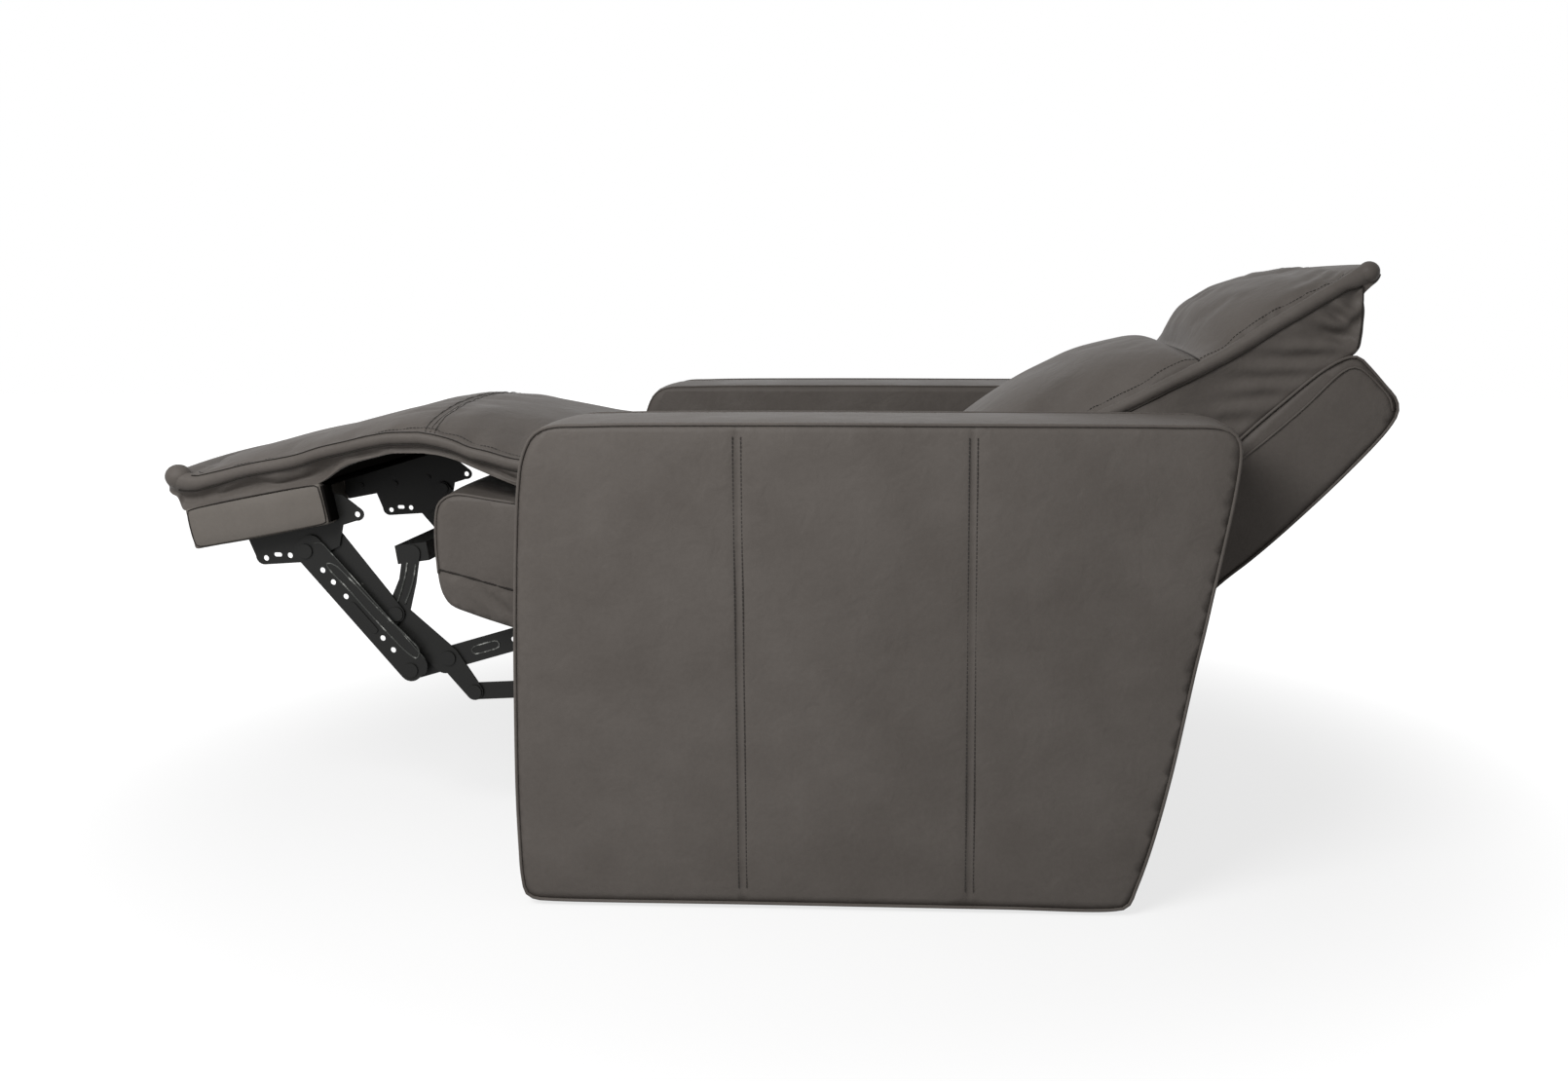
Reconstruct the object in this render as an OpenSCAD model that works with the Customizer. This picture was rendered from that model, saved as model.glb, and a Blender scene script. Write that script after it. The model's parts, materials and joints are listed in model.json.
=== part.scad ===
// Power recliner, shown reclined with the footrest out.
// The chair faces -Y and +X is the sitter's left. The origin is on the floor,
// under the middle of the reclined chair. All lengths are millimetres.

/* [Overall] */
// Width over both arms
overall_w = 970; // [900:1:1100]
// Width of one arm
arm_w = 200; // [150:1:230]
// Gap between an arm and the moving seat
side_gap = 3; // [2:0.5:6]

/* [Arms] */
// Height of the sewn seam along the top of an arm
arm_seam_z = 605; // [560:1:640]
// Rise of the padded top above its seam
arm_crown = 4; // [2:1:16]
// Swell of the padded front and rear edges
arm_edge_swell = 9; // [4:1:16]
// Height of the leather above the floor
arm_floor_gap = 8; // [5:1:14]
// Front edge of an arm, forward of the origin
arm_front_y = -295; // [-320:1:-270]
// Length of an arm along its top
arm_top_l = 868; // [820:1:900]
// Length of an arm along the floor
arm_foot_l = 748; // [700:1:790]
// Radius of the upper front corner
arm_front_r = 46; // [30:1:60]
// Radius of the upper rear corner
arm_rear_r = 22; // [10:1:40]
// How far the front edge leans back below its top corner
arm_front_lean = 20; // [0:1:30]
// Padding and leather over the arm frame
arm_pad_t = 24; // [16:1:34]
// Thickness of the wooden rails in an arm
arm_rail_t = 44; // [30:1:60]
// Diameter of a floor glide
glide_d = 36; // [20:1:50]

/* [Seat box] */
// Front face of the upholstered seat box
box_front_y = -465; // [-480:1:-450]
// Height of the top front edge of the box
box_top_z = 498; // [485:1:505]
// Height of the top edge where it passes behind the arm
box_top_rear_z = 483; // [470:1:495]
// Height of the lower front edge of the box
box_low_z = 362; // [340:1:380]
// Height of the loose flap where it passes behind the arm
box_flap_z = 312; // [300:1:330]
// Length of the box from front to back
box_l = 172; // [150:1:190]
// Thickness of the padded walls
box_wall = 14; // [8:1:20]
// Radius of the box's front corners
box_r = 22; // [10:1:30]

/* [Chaise pad] */
// Radius of the rolled leather edge
roll_r = 10; // [6:0.5:14]
// Rear end of the seat part of the pad
pad_rear_y = 74; // [40:1:90]
// Where the pad leaves the seat and swings with the footrest
pad_split_y = -500; // [-510:1:-495]
// Front end of the pad
pad_tip_y = -811; // [-830:1:-790]
// Gap between neighbouring cushions
cushion_gap = 6; // [3:0.5:12]
// Side panels of the cushions are drawn in by this much
tuck = 10; // [4:1:18]
// Depth of a sewn seam behind the rolled edge
seam_depth = 7; // [3:0.5:10]

/* [Footrest] */
// Length of the upholstered footrest board
board_l = 194; // [160:1:200]
// Thickness of the board with its padding
board_t = 57; // [40:1:65]
// Thickness of the panel that closes the board under the pad
board_panel_t = 7; // [4:0.5:12]
// How far the board is narrower than the pad, each side
board_inset = 7; // [0:1:30]
// Lower rear corner of the board, front to back
board_y = -602; // [-615:1:-595]
// Lower rear corner of the board, height
board_z = 451; // [445:1:460]
// Slope of the open footrest
board_slope = 10.9; // [5:0.1:15]
// Turning point of the footrest, front to back
fold_y = -500; // [-510:1:-490]
// Turning point of the footrest, height
fold_z = 480; // [470:1:490]

/* [Linkage] */
// Thickness of the steel links
link_t = 3; // [2:0.25:4]
// Running gap between neighbouring links
link_gap = 1; // [0.6:0.1:2]
// Width of a link
link_w = 32; // [24:1:36]
// Width of the narrow links
slim_link_w = 24; // [20:1:28]
// Diameter of the pivot pins
pin_d = 12; // [8:0.5:14]
// Diameter of the pin heads
pin_head_d = 20; // [14:0.5:24]
// Thickness of a pin head
pin_head_t = 2.5; // [1.5:0.25:4]
// Diameter of the spare fixing holes
fixing_hole_d = 8; // [4:0.5:10]
// Height of the pressed stiffening ribs
rib_h = 2; // [1:0.25:3]
// Width of the cross bar between the two linkages
cross_bar_w = 45; // [30:1:50]
// Thickness of the cross bar
cross_bar_t = 26; // [16:1:30]

/* [Back] */
// Lean of the outer back from the floor
back_slope = 45; // [40:1:50]
// Height of the outer back above the arm's rear edge, along its slope
shell_top_u = 334; // [320:1:345]
// Thickness of the outer back
shell_t = 112; // [90:1:120]
// Wall of the outer back
shell_wall = 16; // [10:1:20]
// Lowest end of the outer back, along its slope
shell_low_u = -270; // [-290:1:-250]
// Thickness of the wooden back panel
back_panel_t = 18; // [12:1:24]

/* [Power] */
// Diameter of the recline screw
screw_d = 18; // [12:0.5:22]
// Length of a motor housing
motor_l = 120; // [90:1:140]
// Width of a motor housing
motor_w = 70; // [50:1:90]
// Diameter of a control button
button_d = 14; // [10:0.5:18]
// Travel of a control button
button_travel = 1.5; // [1:0.1:2.5]
// Radial running clearance of pins and shafts
run_gap = 0.05; // [0.02:0.01:0.08]

/* [Hidden] */

// Smoothness of the round parts and of the hand-rounded corners
$fn = 48;
corner_steps = 6;
cap_steps = 12;
// Every cut runs past the solid by this much
over = 1;

leather = [0.41, 0.39, 0.37];
steel = [0.16, 0.16, 0.15];
wood = [0.76, 0.62, 0.43];
plastic = [0.13, 0.13, 0.14];

// Planes across the width, measured from the middle
outer_x = overall_w / 2;
inner_x = outer_x - arm_w;
seat_x = inner_x - side_gap;
board_x = seat_x - board_inset;

// Places of the footrest linkage in the side view, each [front to back, height]
pivot_a = [-265, 314];
pivot_b = [-510, 242];
pivot_c = [-650, 409];
pivot_d = [-617, 435];
pivot_e = [-530, 320];
pivot_x = [-460, 257];
pivot_j = [-425, 209];
pivot_g = [-272, 233];
bar_mid = [-506, 405];
bar_tilt = 8;

// Layers of the linkage, each one link and one gap further out
layer_pitch = link_t + link_gap;
linkage_depth = 61;
plate_x = inner_x - linkage_depth;
layer_1 = plate_x + layer_pitch;
layer_2 = layer_1 + layer_pitch;
layer_3 = layer_2 + layer_pitch;
layer_4 = layer_3 + layer_pitch;
layer_5 = layer_4 + layer_pitch;

// Back hinge between seat and back, and the corner that the back's slope runs through
hinge_y = 215;
hinge_z = 400;
back_y = 588;
back_z = 380;

// Turns a flat shape drawn in [front to back, height] upright and gives it a thickness along X
module across(x, t) {
  translate([x, 0, 0]) rotate([90, 0, 90]) linear_extrude(t) children();
}

// The same shape over the whole width between two planes
module full_width(half) {
  across(-half, 2 * half) children();
}

// Mirrors a left piece to the right
module right() {
  mirror([1, 0, 0]) children();
}

// A piece and its mirror image
module both() {
  children();
  mirror([1, 0, 0]) children();
}

// Points of a round corner about a centre
function arc(c, r, a0, a1, n = corner_steps) =
  [for (i = [0:n]) c + r * [cos(a0 + (a1 - a0) * i / n), sin(a0 + (a1 - a0) * i / n)]];

// A flat strip with round ends through some places, with its width at each
module strip(p, w) {
  n = len(p) - 1;
  way = [for (i = [0:n - 1]) atan2(p[i + 1][1] - p[i][1], p[i + 1][0] - p[i][0])];
  function corner(i, side) =
    let (a = (way[i - 1] + way[i]) / 2 + side, r = w[i] / 2 / cos((way[i] - way[i - 1]) / 2))
    p[i] + r * [cos(a), sin(a)];
  polygon(concat(
    arc(p[n], w[n] / 2, way[n - 1] - 90, way[n - 1] + 90, cap_steps),
    [for (i = [n - 1:-1:1]) corner(i, 90)],
    arc(p[0], w[0] / 2, way[0] + 90, way[0] + 270, cap_steps),
    [for (i = [1:n - 1]) corner(i, -90)]
  ));
}

module bar(p, q, w) {
  strip([p, q], [w, w]);
}

// A bar that is wider on one side: a positive lip widens it to the left of its direction
module lipped_bar(p, q, w, lip) {
  d = q - p;
  shift = lip * [-d[1], d[0]] / norm(d);
  bar(p, q, w);
  bar(p + shift, q + shift, w);
}

// A short cylinder along X at a pivot
module pin(p, d, x, l) {
  translate([x, p[0], p[1]]) rotate([0, 90, 0]) cylinder(d = d, h = l);
}

// Padded forms: one side of a ring, from the underside round the rolled edge up to the crown
roll_angles = [-70, -35, 0, 35, 65, 90];
crown_shares = [0.92, 0.78, 0.62, 0.45, 0.24, 0];
seam_share = 2.4;
crown_power = 0.75;

function half_ring(w, low, edge, crown, dip) =
  let (seam_x = w - seam_share * roll_r, seam_z = edge + roll_r - dip * seam_depth)
  concat(
    [[w - tuck, low], [w - tuck - dip * tuck / 2, (low + edge - roll_r) / 2]],
    [for (a = roll_angles) [w - roll_r + roll_r * cos(a), edge + roll_r * sin(a)]],
    [[seam_x, seam_z]],
    [for (s = crown_shares) [seam_x * s, seam_z + (crown - seam_z) * pow(1 - s * s, crown_power)]]
  );

// A whole ring: the side above, then its mirror image back down
function ring(half) =
  concat(half, [for (i = [len(half) - 2:-1:0]) [-half[i][0], half[i][1]]]);

// A padded form through rings, each given as [place, half width, low, edge, crown, seam dip]
module padded(stations) {
  halves = [for (s = stations) half_ring(s[1], s[2], s[3], s[4], s[5])];
  h = len(halves[0]);
  n = 2 * h - 1;
  last = len(stations) - 1;
  points = [for (i = [0:last]) for (p = ring(halves[i])) [p[0], stations[i][0], p[1]]];
  sides = [for (i = [0:last - 1]) for (k = [0:n - 1])
    let (a = i * n + k, b = i * n + (k + 1) % n) each [[a, b + n, b], [a, a + n, b + n]]];
  cap = concat(
    [for (k = [0:h - 3]) each [[k, n - 2 - k, n - 1 - k], [k, k + 1, n - 2 - k]]],
    [[h - 2, h - 1, h]]
  );
  far_cap = [for (f = cap) [f[2] + last * n, f[1] + last * n, f[0] + last * n]];
  polyhedron(points, concat(sides, cap, far_cap), convexity = 6);
}

// Arms: the side outline, its front and rear corners rounded
arm_top_z = arm_seam_z + arm_crown;
arm_front = arm_front_y - arm_edge_swell;
arm_rear_top = arm_front_y + arm_top_l + arm_edge_swell;
arm_rear_foot = arm_front_y + arm_foot_l + arm_edge_swell;
arm_foot_r = 18;
arm_rear_lean = atan((arm_rear_top - arm_rear_foot) / (arm_top_z - arm_floor_gap));
arm_waist_share = 0.62;
section_steps = 12;
swell_power = 4;

function arm_outline(inset) = concat(
  arc([arm_front + inset + arm_foot_r, arm_floor_gap + arm_foot_r], arm_foot_r, 270, 180),
  [[arm_front + inset, arm_top_z * arm_waist_share]],
  arc([arm_front + inset + arm_front_lean + arm_front_r, arm_top_z - inset - arm_front_r], arm_front_r, 180, 90),
  arc([arm_rear_top - inset - arm_rear_r, arm_top_z - inset - arm_rear_r], arm_rear_r, 90, -arm_rear_lean),
  [[arm_rear_foot - inset, arm_floor_gap]]
);

// Cross section of an arm: flat sides and a crowned top
module arm_section() {
  span = arm_rear_top - arm_front + 2 * over;
  translate([0, arm_rear_top + over, 0]) rotate([90, 0, 0]) linear_extrude(span)
    polygon(concat(
      [[inner_x, arm_floor_gap], [outer_x, arm_floor_gap]],
      [for (i = [section_steps:-1:0]) let (s = 2 * i / section_steps - 1)
        [inner_x + arm_w * i / section_steps, arm_seam_z + arm_crown * (1 - pow(s, swell_power))]]
    ));
}

// Plan of an arm: straight sides and a swelling front
module arm_plan() {
  linear_extrude(arm_top_z + over) polygon(concat(
    [[outer_x, arm_rear_top + over], [inner_x, arm_rear_top + over]],
    [for (i = [0:section_steps]) let (s = 2 * i / section_steps - 1)
      [inner_x + arm_w * i / section_steps, arm_front_y - arm_edge_swell * (1 - pow(s, swell_power))]]
  ));
}

fit_gap = 0.3;
arm_frame_w = arm_w - 2 * arm_pad_t;
arm_panel_t = 12;
arm_base_rail_h = 86;

// Leather and padding of an arm, hollow for its frame
module arm_cover(pocket = false) {
  color(leather) difference() {
    intersection() {
      across(inner_x, arm_w) polygon(arm_outline(0));
      arm_section();
      arm_plan();
    }
    if (pocket) panel_block(outer_x - pocket_depth, pocket_depth + over, fit_gap);
    across(inner_x + arm_pad_t, arm_frame_w) polygon(arm_outline(arm_pad_t));
    rail_bolt_holes(bolt_d + 2 * run_gap);
  }
}

// Wooden frame of an arm: a rim with a plywood panel across its middle
module arm_frame() {
  x0 = inner_x + arm_pad_t + fit_gap;
  w = arm_frame_w - 2 * fit_gap;
  recess = (w - arm_panel_t) / 2;
  color(wood) difference() {
    across(x0, w) polygon(arm_outline(arm_pad_t + fit_gap));
    across(x0 - over, recess + over) arm_window();
    across(x0 + w - recess, recess + over) arm_window();
    rail_bolt_holes(bolt_d + 2 * run_gap);
  }
}

module arm_window() {
  intersection() {
    polygon(arm_outline(arm_pad_t + arm_rail_t));
    translate([arm_front, arm_floor_gap + arm_base_rail_h])
      square([arm_rear_top - arm_front, arm_top_z]);
  }
}

// Floor glides: a plastic foot under each corner of each arm, on a threaded stem
glide_inset = 40;

module glide_places() {
  for (x = [inner_x + arm_w / 4, outer_x - arm_w / 4])
    for (y = [arm_front + glide_inset + arm_pad_t, arm_rear_foot - glide_inset - arm_pad_t])
      translate([x, y, 0]) children();
}

module floor_glides() {
  color(plastic) both() glide_places() cylinder(d = glide_d, h = arm_floor_gap);
}

// Cross rails of the base, with an end plate against each arm
rail_w = 40;
rail_h = 40;
rail_z = 44;
front_rail_y = -170;
rear_rail_y = 140;
end_plate_t = 6;
end_plate_w = 96;
end_plate_h = 64;
bolt_d = 10;
bolt_head_d = 17;
bolt_head_t = 6;
bolt_l = 70;
bolt_spread = 68;

module cross_rail(y) {
  color(steel) {
    translate([-inner_x + end_plate_t, y - rail_w / 2, rail_z])
      cube([2 * (inner_x - end_plate_t), rail_w, rail_h]);
    both() difference() {
      translate([inner_x - end_plate_t, y - end_plate_w / 2, rail_z + rail_h / 2 - end_plate_h / 2])
        cube([end_plate_t, end_plate_w, end_plate_h]);
      rail_bolt_holes(bolt_d + 2 * run_gap);
    }
  }
}

module rail_bolt_places() {
  for (y = [front_rail_y, rear_rail_y])
    for (s = [-1, 1])
      translate([inner_x - end_plate_t, y + s * bolt_spread / 2, rail_z + rail_h / 2])
        rotate([0, 90, 0]) children();
}

module rail_bolt_holes(d) {
  rail_bolt_places() translate([0, 0, -over]) cylinder(d = d, h = bolt_l + 2 * over);
}

module rail_bolts() {
  color(steel) both() rail_bolt_places() {
    cylinder(d = bolt_d, h = bolt_l);
    translate([0, 0, -bolt_head_t]) cylinder(d = bolt_head_d, h = bolt_head_t, $fn = 6);
  }
}

// Slide tracks: two steel channels, open upwards, that carry the seat
track_x = 170;
track_w = 44;
track_h = 34;
track_wall = 3;
track_front_y = -222;
track_l = 400;
track_z = rail_z + rail_h;

module slide_tracks() {
  color(steel) both() difference() {
    translate([track_x - track_w / 2, track_front_y, track_z]) cube([track_w, track_l, track_h]);
    translate([track_x - track_w / 2 + track_wall, track_front_y - over, track_z + track_wall])
      cube([track_w - 2 * track_wall, track_l + 2 * over, track_h]);
  }
}

// Seat carriage: two tubes across the mechanism plates, on four glide shoes
tube_d = 32;
tube_z = 168;
front_tube_y = -180;
rear_tube_y = 10;
shoe_l = 60;
shoe_w = track_w - 2 * track_wall - 2 * fit_gap;

module carriage_tubes() {
  color(steel) for (y = [front_tube_y, rear_tube_y])
    pin([y, tube_z], tube_d, -plate_x, 2 * plate_x);
}

module glide_shoes() {
  shoe_top = tube_z;
  color(plastic) both() for (y = [front_tube_y, rear_tube_y]) difference() {
    union() {
      translate([track_x - track_w / 2, y - shoe_l / 2, track_z + track_h + fit_gap])
        cube([track_w, shoe_l, shoe_top - track_z - track_h - fit_gap]);
      translate([track_x - shoe_w / 2, y - shoe_l / 2, track_z + track_wall + fit_gap])
        cube([shoe_w, shoe_l, track_h]);
    }
    pin([y, tube_z], tube_d + 2 * run_gap, track_x - track_w, 2 * track_w);
  }
}

// Recline drive: a motor behind the rear rail turns a screw; a nut pushes the rear carriage tube
screw_z = 136;
motor_h = 66;
motor_front_y = 164;
foot_plate_l = 110;
nut_l = 36;
nut_w = 50;
screw_front_y = -60;
motor_cap_d = 48;
motor_cap_l = 40;

module recline_motor() {
  motor_z = screw_z - motor_h / 2;
  color(plastic) {
    difference() {
      translate([-motor_w / 2, motor_front_y, motor_z]) cube([motor_w, motor_l, motor_h]);
      translate([0, motor_front_y - over, screw_z]) rotate([-90, 0, 0])
        cylinder(d = screw_d + 2 * run_gap, h = motor_l / 2 + over);
    }
    translate([0, motor_front_y + motor_l, screw_z]) rotate([-90, 0, 0]) cylinder(d = motor_cap_d, h = motor_cap_l);
    translate([-motor_w / 2, rear_rail_y - rail_w / 2, track_z]) cube([motor_w, foot_plate_l, motor_z - track_z]);
  }
}

module recline_screw() {
  color(steel) translate([0, screw_front_y, screw_z]) rotate([-90, 0, 0])
    cylinder(d = screw_d, h = motor_front_y + motor_l / 2 - screw_front_y);
}

module recline_nut() {
  low = screw_z - screw_d;
  color(plastic) difference() {
    translate([-nut_w / 2, rear_tube_y - nut_l / 2, low]) cube([nut_w, nut_l, tube_z - low]);
    translate([0, rear_tube_y - nut_l, screw_z]) rotate([-90, 0, 0])
      cylinder(d = screw_d + 2 * run_gap, h = 2 * nut_l);
    pin([rear_tube_y, tube_z], tube_d + 2 * run_gap, -nut_w, 2 * nut_w);
  }
}

// Power inlet: a round socket on the rear rail
inlet_d = 26;
inlet_bore_d = 12;
inlet_l = 22;
inlet_depth = 14;
inlet_x = 120;

module power_inlet() {
  color(plastic) translate([inlet_x, rear_rail_y + rail_w / 2, rail_z + rail_h / 2]) rotate([-90, 0, 0])
    difference() {
      cylinder(d = inlet_d, h = inlet_l);
      translate([0, 0, inlet_l - inlet_depth]) cylinder(d = inlet_bore_d, h = inlet_depth + over);
    }
}

// Control panel: a plate let into the outer face of the right arm, with four round buttons
panel_y = -190;
panel_z = 520;
panel_l = 150;
panel_h = 40;
panel_t = 4;
pocket_depth = 14;
panel_sink = 0.6;
button_pitch = 32;
button_l = 9;
button_stand = 0.4;
button_gap = 0.3;

function button_y(i) = panel_y + (i - 1.5) * button_pitch;

module panel_block(x, t, grow) {
  translate([x, panel_y - panel_l / 2 - grow, panel_z - panel_h / 2 - grow])
    cube([t, panel_l + 2 * grow, panel_h + 2 * grow]);
}

module control_panel() {
  color(plastic) right() difference() {
    panel_block(outer_x - pocket_depth, pocket_depth - panel_sink, 0);
    panel_block(outer_x - pocket_depth - over, pocket_depth - panel_t - panel_sink + over, -panel_t);
    for (i = [0:3])
      pin([button_y(i), panel_z], button_d + 2 * button_gap, outer_x - pocket_depth, pocket_depth + over);
  }
}

module button(i) {
  color(plastic) right()
    pin([button_y(i), panel_z], button_d, outer_x - button_stand - button_l, button_l);
}

// Seat frame: two side rails that carry the back hinge, a front and a rear rail
seat_rail_z = 342;
seat_rail_h = 40;
seat_rail_w = 28;
seat_rail_front_y = -428;
seat_rail_rear_y = 76;
seat_cross_w = 40;
rail_x = plate_x + link_t;
hinge_t = 4;
hinge_lug_x = rail_x + seat_rail_w - hinge_t;
hinge_lug_w = 36;
cushion_base_half = hinge_lug_x - fit_gap;

module seat_rail() {
  color(steel) difference() {
    union() {
      translate([rail_x, seat_rail_front_y, seat_rail_z])
        cube([seat_rail_w, seat_rail_rear_y - seat_rail_front_y, seat_rail_h]);
      across(hinge_lug_x, hinge_t)
        bar([seat_rail_rear_y - hinge_lug_w, seat_rail_z + seat_rail_h / 2], [hinge_y, hinge_z], hinge_lug_w);
    }
    pin([hinge_y, hinge_z], pin_d + 2 * run_gap, hinge_lug_x - over, hinge_t + 2 * over);
  }
}

module seat_cross_rail(y) {
  color(steel) translate([-rail_x, y, seat_rail_z]) cube([2 * rail_x, seat_cross_w, seat_rail_h]);
}

// Elastic webbing across the seat rails
web_w = 50;
web_t = 2;
web_count = 6;

module seat_webbing() {
  reach = seat_rail_rear_y - seat_rail_front_y - web_w;
  color(plastic) for (i = [0:web_count - 1])
    translate([-cushion_base_half, seat_rail_front_y + reach * i / (web_count - 1), seat_rail_z + seat_rail_h])
      cube([2 * cushion_base_half, web_w, web_t]);
}

// Mechanism plates: one each side, carrying the linkage pivots and the carriage tubes
plate_margin = 18;

module mechanism_plate() {
  foot = tube_z - tube_d;
  top = seat_rail_z + seat_rail_h;
  color(steel) {
    difference() {
      across(plate_x, link_t) polygon([
        [pivot_a[0] - 2 * plate_margin, top],
        [pivot_g[0] - plate_margin, pivot_g[1]],
        [pivot_g[0] - plate_margin / 2, pivot_g[1] - plate_margin],
        [front_tube_y - tube_d, foot],
        [rear_tube_y + tube_d, foot],
        [seat_rail_rear_y - seat_cross_w - plate_margin, seat_rail_z],
        [seat_rail_rear_y - seat_cross_w - plate_margin, top]
      ]);
      pin(pivot_a, drive_tube_d + 2 * run_gap, plate_x - over, layer_pitch + 2 * over);
    }
    pin(pivot_g, pin_d, plate_x + link_t, layer_2 - plate_x - link_t + fit_gap);
    pin(pivot_g, pin_head_d, layer_2 - link_gap + fit_gap, pin_head_t);
  }
}

// Seat foam between the webbing and the pad
foam_front_y = -262;
foam_gap = 0.5;

module seat_foam() {
  low = seat_rail_z + seat_rail_h + web_t;
  color([0.92, 0.88, 0.7]) translate([-cushion_base_half, foam_front_y, low])
    cube([2 * cushion_base_half, pad_rear_y - foam_front_y, pad_level(rear_low_share) - foam_gap - low]);
}

// Upholstered seat box: a front wall, a top and two side walls whose lower edge sweeps up to the front
box_wall_low_z = 384;
box_mid_share = 0.7;
box_sweep_share = 0.62;

function box_outline(inset) = concat(
  arc([box_front_y + box_r, box_top_z - box_r], box_r - inset, 180, 98),
  [
    [box_front_y + box_l * box_mid_share, box_top_rear_z - inset],
    [box_front_y + box_l, box_top_rear_z - inset],
    [box_front_y + box_l, box_flap_z - box_r],
    [box_front_y + box_l * box_sweep_share, box_flap_z]
  ],
  arc([box_front_y + box_r, box_low_z + box_r / 3], box_r - inset, 250, 180)
);

module seat_box_cover() {
  side_t = seat_x - rail_x - seat_rail_w;
  color(leather) {
    both() across(seat_x - side_t, side_t) polygon(box_outline(0));
    difference() {
      full_width(seat_x - side_t) polygon(box_outline(0));
      full_width(seat_x) polygon(box_outline(box_wall));
      full_width(seat_x) translate([box_front_y + box_wall, box_flap_z - 2 * box_r])
        square([box_l, box_top_rear_z - box_wall - box_flap_z + 2 * box_r]);
      full_width(seat_x) translate([box_front_y - over, box_flap_z - 2 * box_r])
        square([box_l, box_wall_low_z - box_flap_z + 2 * box_r]);
    }
  }
}

// Chaise pad: one crowned leather pad from the seat to the footrest's tip. Heights are shares of
// the drop below its crest: [place, width, low, edge, crown, seam dip]
pad_top_z = 610;
pad_drop = 130;
rear_low_share = 1.39;

function pad_level(share) = pad_top_z - share * pad_drop;
function pad_rings(table, from_y, to_y) = [for (t = table)
  [from_y + t[0] * (to_y - from_y), seat_x * t[1], pad_level(t[2]), pad_level(t[3]), pad_level(t[4]), t[5]]];

seat_pad_shares = [
  [0.000, 0.94, rear_low_share, 0.97, 0.86, -0.2],
  [0.018, 0.97, rear_low_share, 0.93, 0.78, 1],
  [0.080, 1.00, rear_low_share, 0.88, 0.70, 1],
  [0.240, 1.00, rear_low_share, 0.80, 0.56, 1],
  [0.420, 1.00, rear_low_share, 0.71, 0.40, 1],
  [0.520, 1.00, rear_low_share, 0.66, 0.30, 1],
  [0.592, 1.00, rear_low_share, 0.63, 0.24, 1],
  [0.612, 1.00, 0.955, 0.62, 0.22, 1],
  [0.725, 1.00, 0.87, 0.58, 0.13, 1],
  [0.800, 1.00, 0.72, 0.50, 0.06, 1],
  [0.870, 1.00, 0.59, 0.40, 0.02, 1],
  [0.925, 1.00, 0.51, 0.34, 0.00, 1],
  [0.938, 1.00, 0.50, 0.33, 0.05, 1],
  [0.951, 1.00, 0.49, 0.32, 0.00, 1],
  [1.000, 1.00, 0.46, 0.31, 0.01, -0.2]
];

foot_pad_shares = [
  [0.000, 1.00, 0.47, 0.31, 0.02, -0.2],
  [0.110, 1.00, 0.52, 0.35, 0.10, 1],
  [0.240, 1.00, 0.62, 0.41, 0.18, 1],
  [0.340, 1.00, 0.830, 0.47, 0.25, 1],
  [0.480, 1.00, 0.900, 0.56, 0.33, 1],
  [0.660, 1.00, 0.990, 0.65, 0.43, 1],
  [0.830, 1.00, 1.060, 0.75, 0.53, 1],
  [0.930, 1.00, 1.080, 0.81, 0.62, 1],
  [0.970, 0.99, 1.000, 0.79, 0.66, 0.6],
  [1.000, 0.97, 0.900, 0.79, 0.70, -0.2]
];

module seat_pad() {
  color(leather) padded(pad_rings(seat_pad_shares, pad_rear_y, pad_split_y + cushion_gap / 2));
}

// The footrest part of the pad lies on the board wherever its shares would take it lower
function board_top(y) = board_z + (y - board_y) * tan(board_slope) + board_t / cos(board_slope);
function lies_on_board(rings) = [for (r = rings)
  [r[0], r[1], max(r[2], board_top(r[0]) + fit_gap), r[3], r[4], r[5]]];

module footrest_pad() {
  color(leather)
    padded(lies_on_board(pad_rings(foot_pad_shares, pad_split_y - cushion_gap / 2, pad_tip_y - roll_r)));
}

// Footrest board: an upholstered tray under the pad, sloping down to the tip, open below and behind
board_r = 12;
board_front_t = 8;
board_hollow_half = layer_4 + link_t + fit_gap;

// Draws in the board's own direction: along its underside from the lower rear corner, and up from it
module on_board() {
  translate([0, board_y, board_z]) rotate([180 + board_slope, 0, 0]) mirror([0, 0, 1]) children();
}

function board_point(p) = [
  board_y - p[0] * cos(board_slope) - p[1] * sin(board_slope),
  board_z - p[0] * sin(board_slope) + p[1] * cos(board_slope)
];

module footrest_board() {
  color(leather) on_board() difference() {
    full_width(board_x) polygon(concat(
      [[0, 0]],
      arc([board_l - board_r, board_r], board_r, 270, 360),
      arc([board_l - board_r, board_t - board_r], board_r, 0, 90),
      [[0, board_t]]
    ));
    full_width(board_hollow_half) translate([-over, -over])
      square([board_l - board_front_t + over, board_t - board_panel_t + over]);
  }
}

// Ottoman plates inside the board: an arched plate against each side of the tray, with a rear eye,
// the two front pivots and a tab of spare holes. The arch is given in shares of the tray's length and depth
arch_shares = [[0.93, 0], [0.95, 0.24], [0.93, 0.67], [0.67, 0.92], [0.54, 1], [0.15, 1], [-0.07, 0.68]];
tab_r = 12;
slot_l = 12;
eye = [-576, 460];
eye_r = 9;
heel_top = [-597, 445];
heel_low = [-603, 416];
tab_front = [-710, 401];
tab_top_share = 0.68;
tab_holes = [[-708, 398], [-674, 402]];
tab_slot = [-691, 403];
rivet_d = 9;
rivet_shares = [[0.2, 0.2], [0.5, 0.2], [0.8, 0.35]];

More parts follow.
